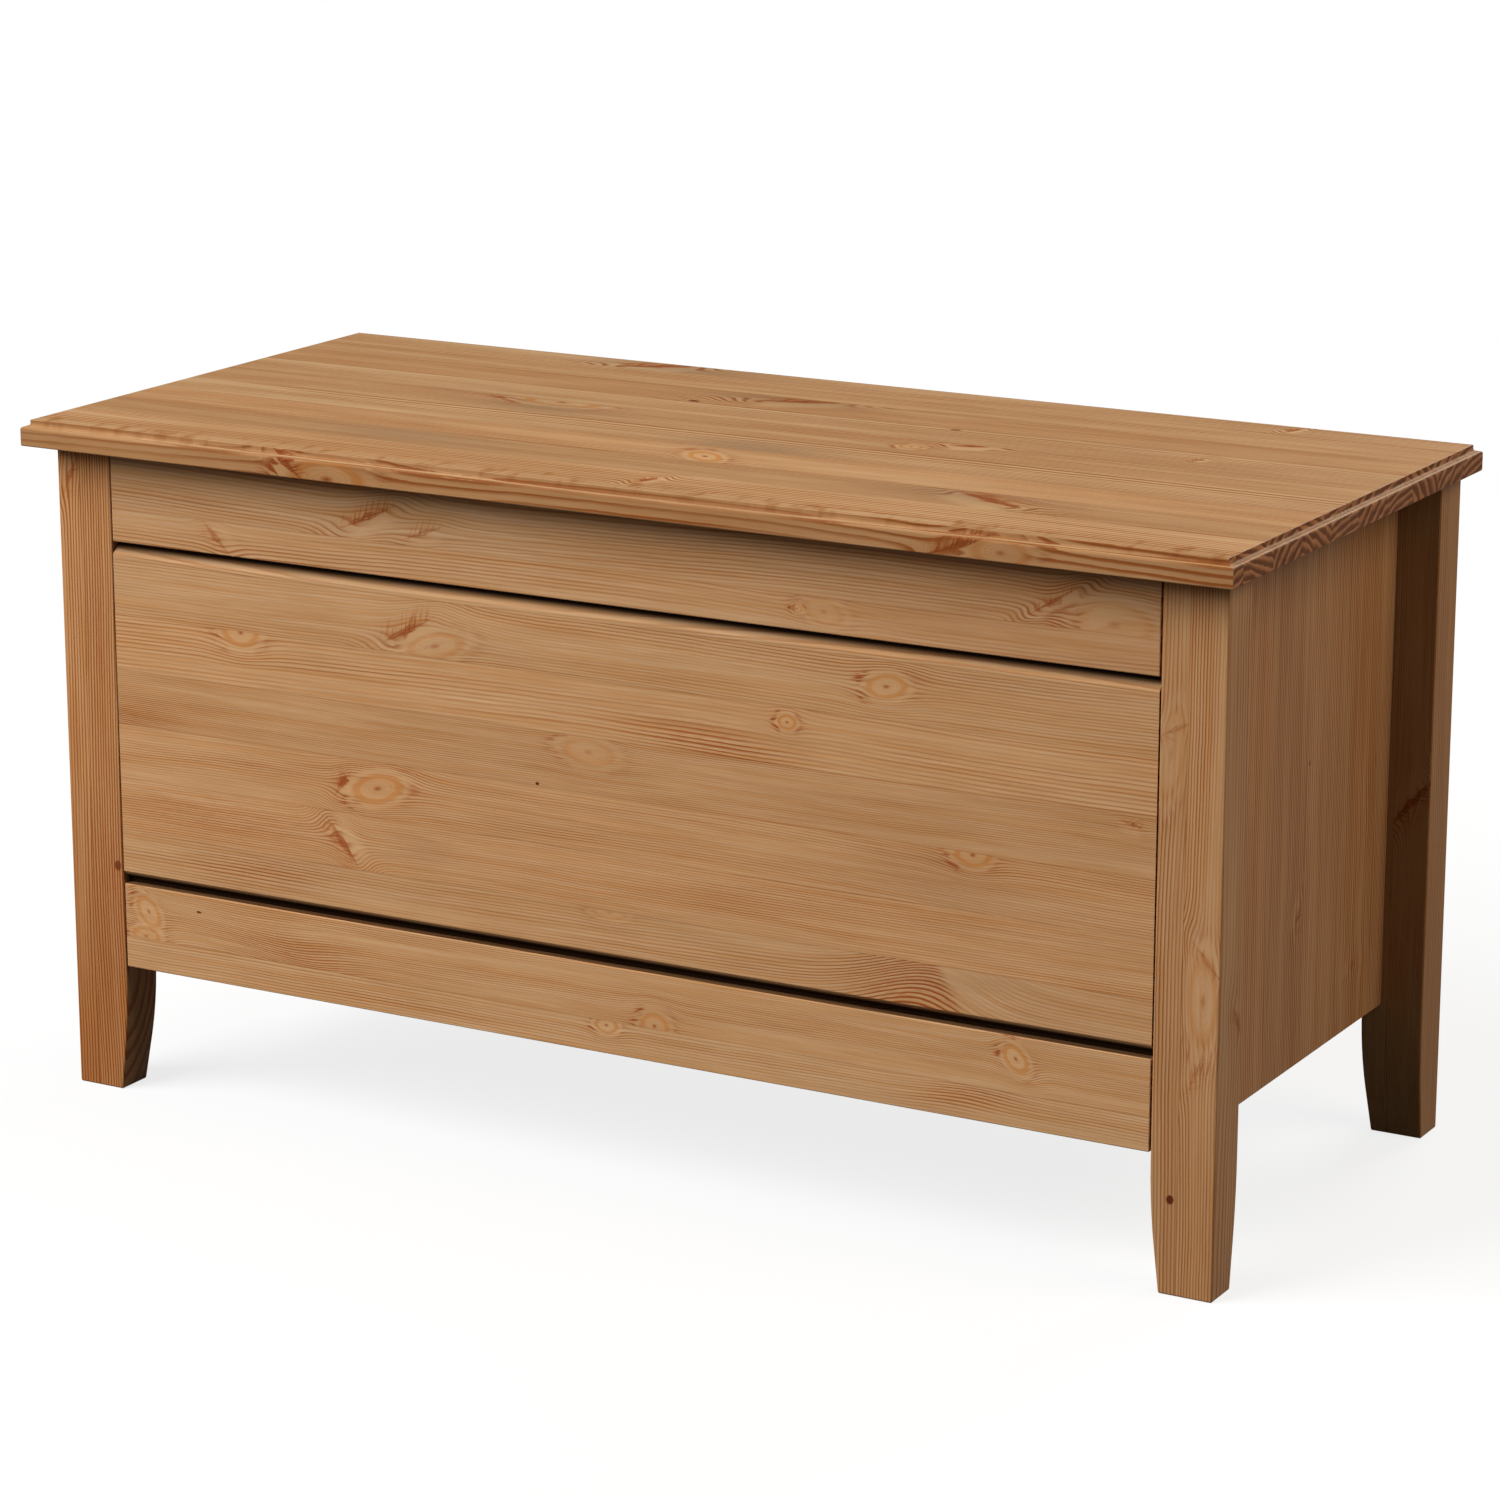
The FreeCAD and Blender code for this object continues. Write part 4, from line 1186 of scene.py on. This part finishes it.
@dataclass(frozen=True)
class Beech:
    """Turned beech with its short dark flecks along the grain."""

    name: str = "beech_dowel"
    along: Axis = Axis.X
    pale: Colour = (0.560, 0.345, 0.190)
    deep: Colour = (0.340, 0.170, 0.080)

    def material(self) -> Material:
        """The dowels' material.

        Returns:
            A pale wood with flecks along the grain.
        """
        surface = Surface(self.name)
        place = surface.place()
        scale = [0.35, 0.35, 0.35]
        scale[self.along.value] = 3.0
        flecks = surface.noise([axis / size for axis, size in zip(place, scale)], 2.0)
        cloud = surface.noise([axis / 8.0 for axis in place], 2.0)
        colour = surface.mix(flecks.rise(0.08, 0.2) * 0.6 + cloud * 0.3 + 0.1, self.pale, self.deep)
        normal = surface.bump(flecks, 0.2, 0.1 * MM)
        return surface.close(Base_Color=colour, Roughness=0.6 + flecks * 0.2, Normal=normal)


BRASS = Metal("hinge_brass", (0.52, 0.36, 0.15), (0.32, 0.20, 0.08), 0.42)
ZINC = Metal("screw_zinc", (0.66, 0.66, 0.67), (0.46, 0.45, 0.43), 0.34)
STEEL = Metal("stay_steel", (0.48, 0.49, 0.50), (0.34, 0.34, 0.33), 0.42, Axis.Y)


class RepeatTree(Graph):
    """A geometry tree that sets one made shape on each point it is given, along the point's aim."""

    def __init__(self, name: str, sizes: Sequence[str]) -> None:
        """Start the tree.

        Args:
            name: The tree's name.
            sizes: Names of its inputs for sizes, in metres.
        """
        super().__init__(bpy.data.node_groups.new(name, "GeometryNodeTree"))
        interface = self.tree.interface
        interface.new_socket("Places", in_out="INPUT", socket_type="NodeSocketGeometry")
        for size in sizes:
            interface.new_socket(size, in_out="INPUT", socket_type="NodeSocketFloat")
        interface.new_socket("Finish", in_out="INPUT", socket_type="NodeSocketMaterial")
        interface.new_socket("Pieces", in_out="OUTPUT", socket_type="NodeSocketGeometry")
        self.inputs = self.node("NodeGroupInput").outputs

    def size(self, name: str) -> Value:
        """One of the tree's sizes."""
        return Value(self, self.inputs[name])

    def moved(self, mesh: Socket, height: Number) -> Socket:
        """A shape moved along its own axis."""
        sockets = {"Geometry": mesh, "Translation": self.vector(0.0, 0.0, height)}
        return self.node("GeometryNodeTransform", None, sockets).outputs["Geometry"]

    def joined(self, *meshes: Socket) -> Socket:
        """Join shapes.

        Args:
            meshes: The shapes.

        Returns:
            All of them as one.
        """
        join = self.node("GeometryNodeJoinGeometry")
        for mesh in meshes:
            self.tree.links.new(mesh, join.inputs["Geometry"])
        return join.outputs["Geometry"]

    def cone(self, low: Number, high: Number, depth: Number, sides: int = 28) -> Socket:
        """A cone that stands on the origin.

        Args:
            low: Radius at the origin.
            high: Radius at the far end.
            depth: Height.
            sides: Number of sides.

        Returns:
            The cone's mesh.
        """
        sockets = {"Vertices": sides, "Radius Bottom": low, "Radius Top": high, "Depth": depth}
        return self.node("GeometryNodeMeshCone", None, sockets).outputs["Mesh"]

    def close(self, shape: Socket, seed: int) -> None:
        """Set the shape on the points, each with its own twist.

        Args:
            shape: The shape, along +Z from the origin.
            seed: Seed of the twists.
        """
        twist = self.node("FunctionNodeRandomValue", {"data_type": "FLOAT"}, {
            "Max_001": math.tau, "Seed": seed})
        angle = next(socket for socket in twist.outputs if socket.identifier == "Value_001")
        turn = self.node("FunctionNodeEulerToRotation", None, {
            "Euler": self.vector(0.0, 0.0, Value(self, angle))})
        aim = self.node("GeometryNodeInputNamedAttribute", {"data_type": "FLOAT_VECTOR"}, {"Name": "aim"})
        way = self.node("FunctionNodeAlignRotationToVector", {"axis": "Z"}, {
            "Rotation": turn.outputs["Rotation"], "Vector": aim.outputs["Attribute"]})
        spread = self.node("GeometryNodeInstanceOnPoints", None, {
            "Points": self.inputs["Places"], "Instance": shape, "Rotation": way.outputs["Rotation"]})
        solid = self.node("GeometryNodeRealizeInstances", None, {"Geometry": spread.outputs["Instances"]})
        finished = self.node("GeometryNodeSetMaterial", None, {
            "Geometry": solid.outputs["Geometry"], "Material": self.inputs["Finish"]})
        self.node("NodeGroupOutput", None, {"Pieces": finished.outputs["Geometry"]})


def screw_tree() -> Tree:
    """A countersunk wood screw with a cross recess and a thread.

    Returns:
        The tree; its head's flat side lies on the origin.
    """
    names = ("Head Radius", "Head Depth", "Shank Radius", "Length", "Tip Length",
             "Recess Width", "Recess Depth")
    tree = RepeatTree("cross_head_screw", names)
    head, sink, shank, length, tip, width, depth = (tree.size(name) for name in names)
    sunk_head = tree.cone(head, shank, sink)
    recess = tree.node("GeometryNodeMeshBoolean", {"operation": "DIFFERENCE"}, {"Mesh 1": sunk_head})
    for size in (tree.vector(head * 1.15, width, depth * 2.0), tree.vector(width, head * 1.15, depth * 2.0)):
        slot = tree.node("GeometryNodeMeshCube", None, {"Size": size})
        tree.tree.links.new(slot.outputs["Mesh"], recess.inputs["Mesh 2"])
    core = shank * 0.78
    stem = tree.moved(tree.cone(core, core, length - tip - sink * 0.5, 16), sink * 0.5)
    point = tree.moved(tree.cone(core, shank * 0.08, tip, 16), length - tip)
    helix = tree.node("GeometryNodeCurveSpiral", None, {
        "Resolution": 14, "Rotations": 11.0, "Start Radius": core, "End Radius": core,
        "Height": length - tip - sink})
    ridge = tree.node("GeometryNodeCurvePrimitiveCircle", {"mode": "RADIUS"}, {
        "Resolution": 3, "Radius": shank - core})
    thread = tree.node("GeometryNodeCurveToMesh", None, {
        "Curve": helix.outputs["Curve"], "Profile Curve": ridge.outputs["Curve"], "Fill Caps": True})
    wound = tree.moved(thread.outputs["Mesh"], sink)
    tree.close(tree.joined(recess.outputs["Mesh"], stem, point, wound), seed=5)
    return tree.tree


def dowel_tree() -> Tree:
    """A fluted dowel with chamfered ends.

    Returns:
        The tree; the dowel's middle lies on the origin.
    """
    tree = RepeatTree("fluted_dowel", ("Radius", "Length", "Chamfer"))
    radius, length, chamfer = (tree.size(name) for name in ("Radius", "Length", "Chamfer"))
    half = length * 0.5
    flutes = tree.node("GeometryNodeCurveStar", None, {
        "Points": 16, "Inner Radius": radius * 0.93, "Outer Radius": radius})
    line = tree.node("GeometryNodeCurvePrimitiveLine", None, {
        "Start": tree.vector(0.0, 0.0, chamfer - half), "End": tree.vector(0.0, 0.0, half - chamfer)})
    shaft = tree.node("GeometryNodeCurveToMesh", None, {
        "Curve": line.outputs["Curve"], "Profile Curve": flutes.outputs["Curve"], "Fill Caps": True})
    top = tree.moved(tree.cone(radius * 0.96, radius * 0.78, chamfer), half - chamfer)
    base = tree.moved(tree.cone(radius * 0.78, radius * 0.96, chamfer), 0.0 - half)
    tree.close(tree.joined(shaft.outputs["Mesh"], top, base), seed=7)
    return tree.tree


def bumper_tree() -> Tree:
    """A round pad that is flat on the lid and crowned below.

    Returns:
        The tree; the pad's flat side lies on the origin.
    """
    tree = RepeatTree("crowned_pad", ("Radius", "Height"))
    radius, height = tree.size("Radius"), tree.size("Height")
    ball = tree.node("GeometryNodeMeshUVSphere", None, {"Segments": 40, "Rings": 24, "Radius": 1.0})
    x, y, z = tree.parts(tree.node("GeometryNodeInputPosition").outputs["Position"])
    lift = z.at_least(0.0)
    crown = (1.0 - (1.0 - lift) ** 3.0) * height
    spread = (1.0 - lift * lift * lift).at_least(0.0)
    around = (x * x + y * y).root().at_least(0.0001)
    rim = (spread ** 0.5) * radius / around * (1.0 - (0.0 - z).at_least(0.0))
    shaped = tree.node("GeometryNodeSetPosition", None, {
        "Geometry": ball.outputs["Mesh"], "Position": tree.vector(x * rim, y * rim, crown)})
    tree.close(shaped.outputs["Geometry"], seed=9)
    return tree.tree


@dataclass(frozen=True)
class Repeated:
    """Alike small pieces of one CAD node, made again in full detail. Lengths are in millimetres."""

    node: str
    body: str
    slot: str
    places: tuple[tuple[Place, Place], ...]
    sizes: Mapping[str, float]

    def build(self, tree: Tree, finish: Material) -> None:
        """Make the pieces and let them stand for the CAD node.

        Args:
            tree: The geometry tree that makes one piece.
            finish: Their material.
        """
        points = bpy.data.meshes.new(f"{self.node}_places")
        points.from_pydata([tuple(Vector(place) * MM) for place, _ in self.places], [], [])
        aims = points.attributes.new("aim", "FLOAT_VECTOR", "POINT")
        for row, (_, aim) in zip(aims.data, self.places):
            row.vector = aim
        maker = new_object(f"{self.node}_maker", points)
        modifier = maker.modifiers.new("repeat", "NODES")
        modifier.node_group = tree
        for item in tree.interface.items_tree:
            if item.name in self.sizes:
                modifier[item.identifier] = self.sizes[item.name] * MM
            elif item.name == "Finish":
                modifier[item.identifier] = finish
        view = bpy.context.evaluated_depsgraph_get()
        mesh = bpy.data.meshes.new_from_object(maker.evaluated_get(view), depsgraph=view)
        bpy.data.objects.remove(maker)
        mesh.name = f"{self.node}_set"
        mesh.materials.clear()
        mesh.materials.append(finish)
        piece = new_object(mesh.name, mesh)
        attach(piece, self.body)
        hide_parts(self.node)
        log.info("made %s: %d pieces, %d faces", piece.name, len(self.places), len(mesh.polygons))


@dataclass
class Fasteners:
    """The screws, dowels and bumpers. Lengths are in millimetres, as in the CAD model."""

    wood_screw: Mapping[str, float] = field(default_factory=lambda: {
        "Head Radius": 3.5, "Head Depth": 1.9, "Shank Radius": 1.75, "Length": 28.0, "Tip Length": 4.0,
        "Recess Width": 0.75, "Recess Depth": 1.3})
    fine_screw: Mapping[str, float] = field(default_factory=lambda: {
        "Head Radius": 2.6, "Head Depth": 1.0, "Shank Radius": 1.5, "Length": 14.0, "Tip Length": 3.0,
        "Recess Width": 0.6, "Recess Depth": 0.7})
    dowel: Mapping[str, float] = field(default_factory=lambda: {
        "Radius": 4.0, "Length": 36.0, "Chamfer": 1.2})
    bumper: Mapping[str, float] = field(default_factory=lambda: {"Radius": 6.0, "Height": 2.3})
    hinge_x: float = 300.0
    hinge_y: float = 190.0
    hinge_row: tuple[float, ...] = (-21.0, 0.0, 21.0)
    rail_leaf_top: float = 460.6
    lid_leaf_base: float = 461.0
    bracket_x: float = 378.2
    bracket_y: float = 51.596
    bracket_step: float = 13.2
    bracket_base: float = 460.0
    batten_x: float = 230.0
    batten_row: tuple[float, ...] = (-109.45, 8.75, 126.95)
    batten_base: float = 444.0
    cleat_height: float = 104.0
    long_cleat_row: tuple[float, ...] = (-318.92, -112.56, 112.56, 318.92)
    long_cleat_faces: tuple[tuple[float, float], ...] = ((-143.0, -1.0), (160.5, 1.0))
    short_cleat_row: tuple[float, ...] = (-109.515, 127.015)
    short_cleat_x: float = 376.0
    dowel_x: float = 393.6
    dowel_faces: tuple[float, ...] = (-171.0, 188.5)
    dowel_heights: tuple[float, ...] = (108.0, 137.0, 413.0, 443.6)
    bumper_place: Place = (416.0, -163.5, 462.0)

    def dress(self) -> None:
        """Make every fastener and bumper."""
        down, up, right = (0.0, 0.0, -1.0), (0.0, 0.0, 1.0), (1.0, 0.0, 0.0)
        sides = (-1.0, 1.0)
        screw, zinc = screw_tree(), ZINC.material()
        hinges = [(side * self.hinge_x + step, self.hinge_y) for side in sides for step in self.hinge_row]
        brackets = [(side * self.bracket_x, self.bracket_y + way * self.bracket_step)
                    for side in sides for way in sides]
        battens = [(side * self.batten_x, y) for side in sides for y in self.batten_row]
        long_rows = [((x, y, self.cleat_height), (0.0, way, 0.0)) for y, way in self.long_cleat_faces
                     for x in self.long_cleat_row]
        short_rows = [((side * self.short_cleat_x, y, self.cleat_height), (side, 0.0, 0.0)) for side in sides
                      for y in self.short_cleat_row]
        fine, wood = self.fine_screw, self.wood_screw
        sets = (
            ("hinge_rail_screws", "carcass", [((x, y, self.rail_leaf_top), down) for x, y in hinges], fine),
            ("hinge_lid_screws", "lid", [((x, y, self.lid_leaf_base), up) for x, y in hinges], fine),
            ("stay_bracket_screws", "lid", [((x, y, self.bracket_base), up) for x, y in brackets], fine),
            ("batten_screws", "lid", [((x, y, self.batten_base), up) for x, y in battens], wood),
            ("cleat_screws", "carcass", long_rows + short_rows, wood),
        )
        for node, body, places, sizes in sets:
            Repeated(node, body, "zinc_screw", tuple(places), sizes).build(screw, zinc)
        dowels = tuple(((side * self.dowel_x, y, z), right) for side in sides for y in self.dowel_faces
                       for z in self.dowel_heights)
        rail_dowels = Repeated("rail_dowels", "carcass", "beech_dowel", dowels, self.dowel)
        rail_dowels.build(dowel_tree(), Beech().material())
        x, y, z = self.bumper_place
        bumpers = tuple(((side * x, y, z), down) for side in sides)
        Repeated("lid_bumpers", "lid", "felt", bumpers, self.bumper).build(bumper_tree(), Felt().material())


@dataclass
class Back:
    """The back: two rails and a plywood panel between them."""

    stave_width: float = 46.0
    top_rail_glue_line: float = 404.0
    bottom_rail_glue_line: float = 101.0
    top_rail_knots: tuple[Knot, ...] = (
        Knot(EYE, -210, 430, 14, 8, 0, 0.9),
        Knot(FEATHER, 120, 425, 24, 8, 24, 0.9),
        Knot(STREAK, 290, 440, 40, 10, 8, 0.8),
    )
    bottom_rail_knots: tuple[Knot, ...] = (
        Knot(EYE, 175, 125, 16, 9, 10, 1.0),
        Knot(STREAK, -120, 118, 45, 10, -8, 0.8),
        Knot(FEATHER, -300, 130, 22, 8, -30, 0.9),
    )

    def dress(self) -> None:
        """Give the rails pine and the panel plywood."""
        lie = {"along": Axis.X, "across": Axis.Z, "through": Axis.Y, "stave_width": self.stave_width}
        PineBoard("back_top_rail", glue_line=self.top_rail_glue_line, seed=91.0,
                  knots=self.top_rail_knots, **lie).dress()
        PineBoard("back_bottom_rail", glue_line=self.bottom_rail_glue_line, seed=97.0,
                  knots=self.bottom_rail_knots, **lie).dress()
        set_material("back_panel", Plywood("back_plywood", Axis.X, Axis.Z, Axis.Y).material())


@dataclass
class Floor:
    """The plywood floor on its four cleats."""

    cleat_stave_width: float = 60.0
    cleat_glue_line: float = 80.0

    def dress(self) -> None:
        """Give the floor plywood and the cleats pine."""
        set_material("floor_panel", Plywood("floor_plywood", Axis.X, Axis.Y, Axis.Z).material())
        for node, along, through, seed in (
                ("front_floor_cleat", Axis.X, Axis.Y, 101.0), ("rear_floor_cleat", Axis.X, Axis.Y, 103.0),
                ("left_floor_cleat", Axis.Y, Axis.X, 107.0), ("right_floor_cleat", Axis.Y, Axis.X, 109.0)):
            PineBoard(node, along, Axis.Z, through, self.cleat_stave_width, self.cleat_glue_line,
                      seed=seed).dress()


def dress_pairs(pieces: Sequence[str], metal: Metal) -> None:
    """Put a metal on pieces that come left and right.

    Args:
        pieces: The pieces' names without their sides.
        metal: Their finish.
    """
    finish = metal.material()
    for side in ("left", "right"):
        for piece in pieces:
            set_material(f"{side}_{piece}", finish)


@dataclass
class Hinges:
    """The two butt hinges at the back."""

    pieces: tuple[str, ...] = ("hinge_rail_leaf", "hinge_lid_leaf", "hinge_pin")

    def dress(self) -> None:
        """Give the leaves and pins brass."""
        dress_pairs(self.pieces, BRASS)


@dataclass
class Stays:
    """The two sliding stays that hold the lid open."""

    pieces: tuple[str, ...] = ("stay_arm", "stay_bracket", "stay_rivet", "stay_stud")

    def dress(self) -> None:
        """Give the arms, brackets, rivets and studs plated steel."""
        dress_pairs(self.pieces, STEEL)


@dataclass(frozen=True)
class Lamp:
    """A square soft box that points at the chest. Lengths are in metres, and power in watts."""

    name: str
    place: Place
    size: float
    power: float
    colour: Colour = (1.0, 1.0, 1.0)
    target: ClassVar[Place] = (0.0, 0.0, 0.25)

    def build(self) -> None:
        """Hang the lamp."""
        light = bpy.data.lights.new(self.name, "AREA")
        light.color = self.colour
        light.size = self.size
        light.energy = self.power
        holder = new_object(self.name, light)
        holder.location = self.place
        aim = Vector(self.target) - Vector(self.place)
        holder.rotation_euler = aim.to_track_quat("-Z", "Y").to_euler()


@dataclass
class Studio:
    """The floor, the lights and the camera. Lengths are in metres, the sensor's in millimetres."""

    image_width: float = 1500.0
    sensor: float = 36.0
    focal_pixels: float = 4720.0
    camera_place: Place = (1.5397, -2.7218, 1.0864)
    camera_turn: float = 29.40
    camera_pitch: float = 14.83
    floor_half: float = 40.0
    floor_glow: float = 0.80
    shadow_reach: tuple[float, float] = (0.9, 2.2)
    world_light: float = 0.06
    lamps: tuple[Lamp, ...] = (
        Lamp("key", (-2.4, -3.1, 3.3), 3.7, 372.0),
        Lamp("side", (2.3, 0.15, 1.95), 1.5, 29.0, (1.0, 0.92, 0.80)),
        Lamp("rear", (0.6, 4.0, 2.2), 2.2, 110.0),
    )

    def build(self) -> None:
        """Make the whole stage."""
        self.make_floor()
        self.make_world()
        for lamp in self.lamps:
            lamp.build()
        self.make_camera()
        bpy.context.scene.view_settings.view_transform = "Standard"

    def make_floor(self) -> None:
        """A plain pale floor that keeps the shadow."""
        mesh = bpy.data.meshes.new("floor")
        half = self.floor_half
        corners = [(-half, -half, 0.0), (half, -half, 0.0), (half, half, 0.0), (-half, half, 0.0)]
        mesh.from_pydata(corners, [], [(0, 1, 2, 3)])
        floor = new_object("floor", mesh)
        mesh.materials.append(self.floor_material())

    def floor_material(self) -> Material:
        """White to the eye and in reflections, and a calm grey to the light that it throws back.

        Returns:
            A material that takes the shadow near the chest and is plain white further off.
        """
        surface = Surface("floor_white")
        path = surface.node("ShaderNodeLightPath").outputs
        seen = (Value(surface, path["Is Camera Ray"]) + Value(surface, path["Is Glossy Ray"])
                + Value(surface, path["Is Transmission Ray"])).at_most(1.0)
        x, y, _ = surface.place()
        away = (x * x + y * y).root() * MM
        glow_share = self.floor_glow + away.rise(*self.shadow_reach) * (1.0 - self.floor_glow)
        paper = surface.node("ShaderNodeBsdfDiffuse", None, {"Color": (0.90, 0.90, 0.90, 1.0)})
        dull = surface.node("ShaderNodeBsdfDiffuse", None, {"Color": (0.09, 0.085, 0.08, 1.0)})
        glow = surface.node("ShaderNodeEmission", None, {"Color": (1.0, 1.0, 1.0, 1.0), "Strength": 1.0})
        bright = surface.node("ShaderNodeMixShader", None, {
            "Fac": glow_share, "Shader": paper.outputs[0], "Shader_001": glow.outputs[0]})
        both = surface.node("ShaderNodeMixShader", None, {
            "Fac": seen, "Shader": dull.outputs[0], "Shader_001": bright.outputs[0]})
        surface.node("ShaderNodeOutputMaterial", None, {"Surface": both.outputs[0]})
        return surface.material

    def make_world(self) -> None:
        """Soft light from all around, and white where it is seen."""
        world = bpy.data.worlds.new("studio")
        world.use_nodes = True
        bpy.context.scene.world = world
        graph = Graph(world.node_tree)
        graph.tree.nodes.clear()
        path = graph.node("ShaderNodeLightPath").outputs
        strength = Value(graph, path["Is Camera Ray"]) * (1.0 - self.world_light) + self.world_light
        background = graph.node("ShaderNodeBackground", None, {
            "Color": (1.0, 1.0, 1.0, 1.0), "Strength": strength})
        graph.node("ShaderNodeOutputWorld", None, {"Surface": background.outputs[0]})

    def make_camera(self) -> None:
        """The camera at the photograph's viewing angle."""
        camera = bpy.data.cameras.new("camera")
        camera.sensor_width = self.sensor
        camera.lens = self.focal_pixels * self.sensor / self.image_width
        holder = new_object("camera", camera)
        holder.location = self.camera_place
        holder.rotation_euler = (math.radians(90.0 - self.camera_pitch), 0.0, math.radians(self.camera_turn))
        bpy.context.scene.camera = holder


def main() -> None:
    """Dress the chest, one sub-assembly after another."""
    logging.basicConfig(level=logging.INFO)
    for assembly in (Front(), Lid(), Legs(), Sides(), Back(), Floor(), Hinges(), Stays(), Fasteners()):
        assembly.dress()
        log.info("dressed %s", type(assembly).__name__)
    Studio().build()


if __name__ == "__main__":
    main()
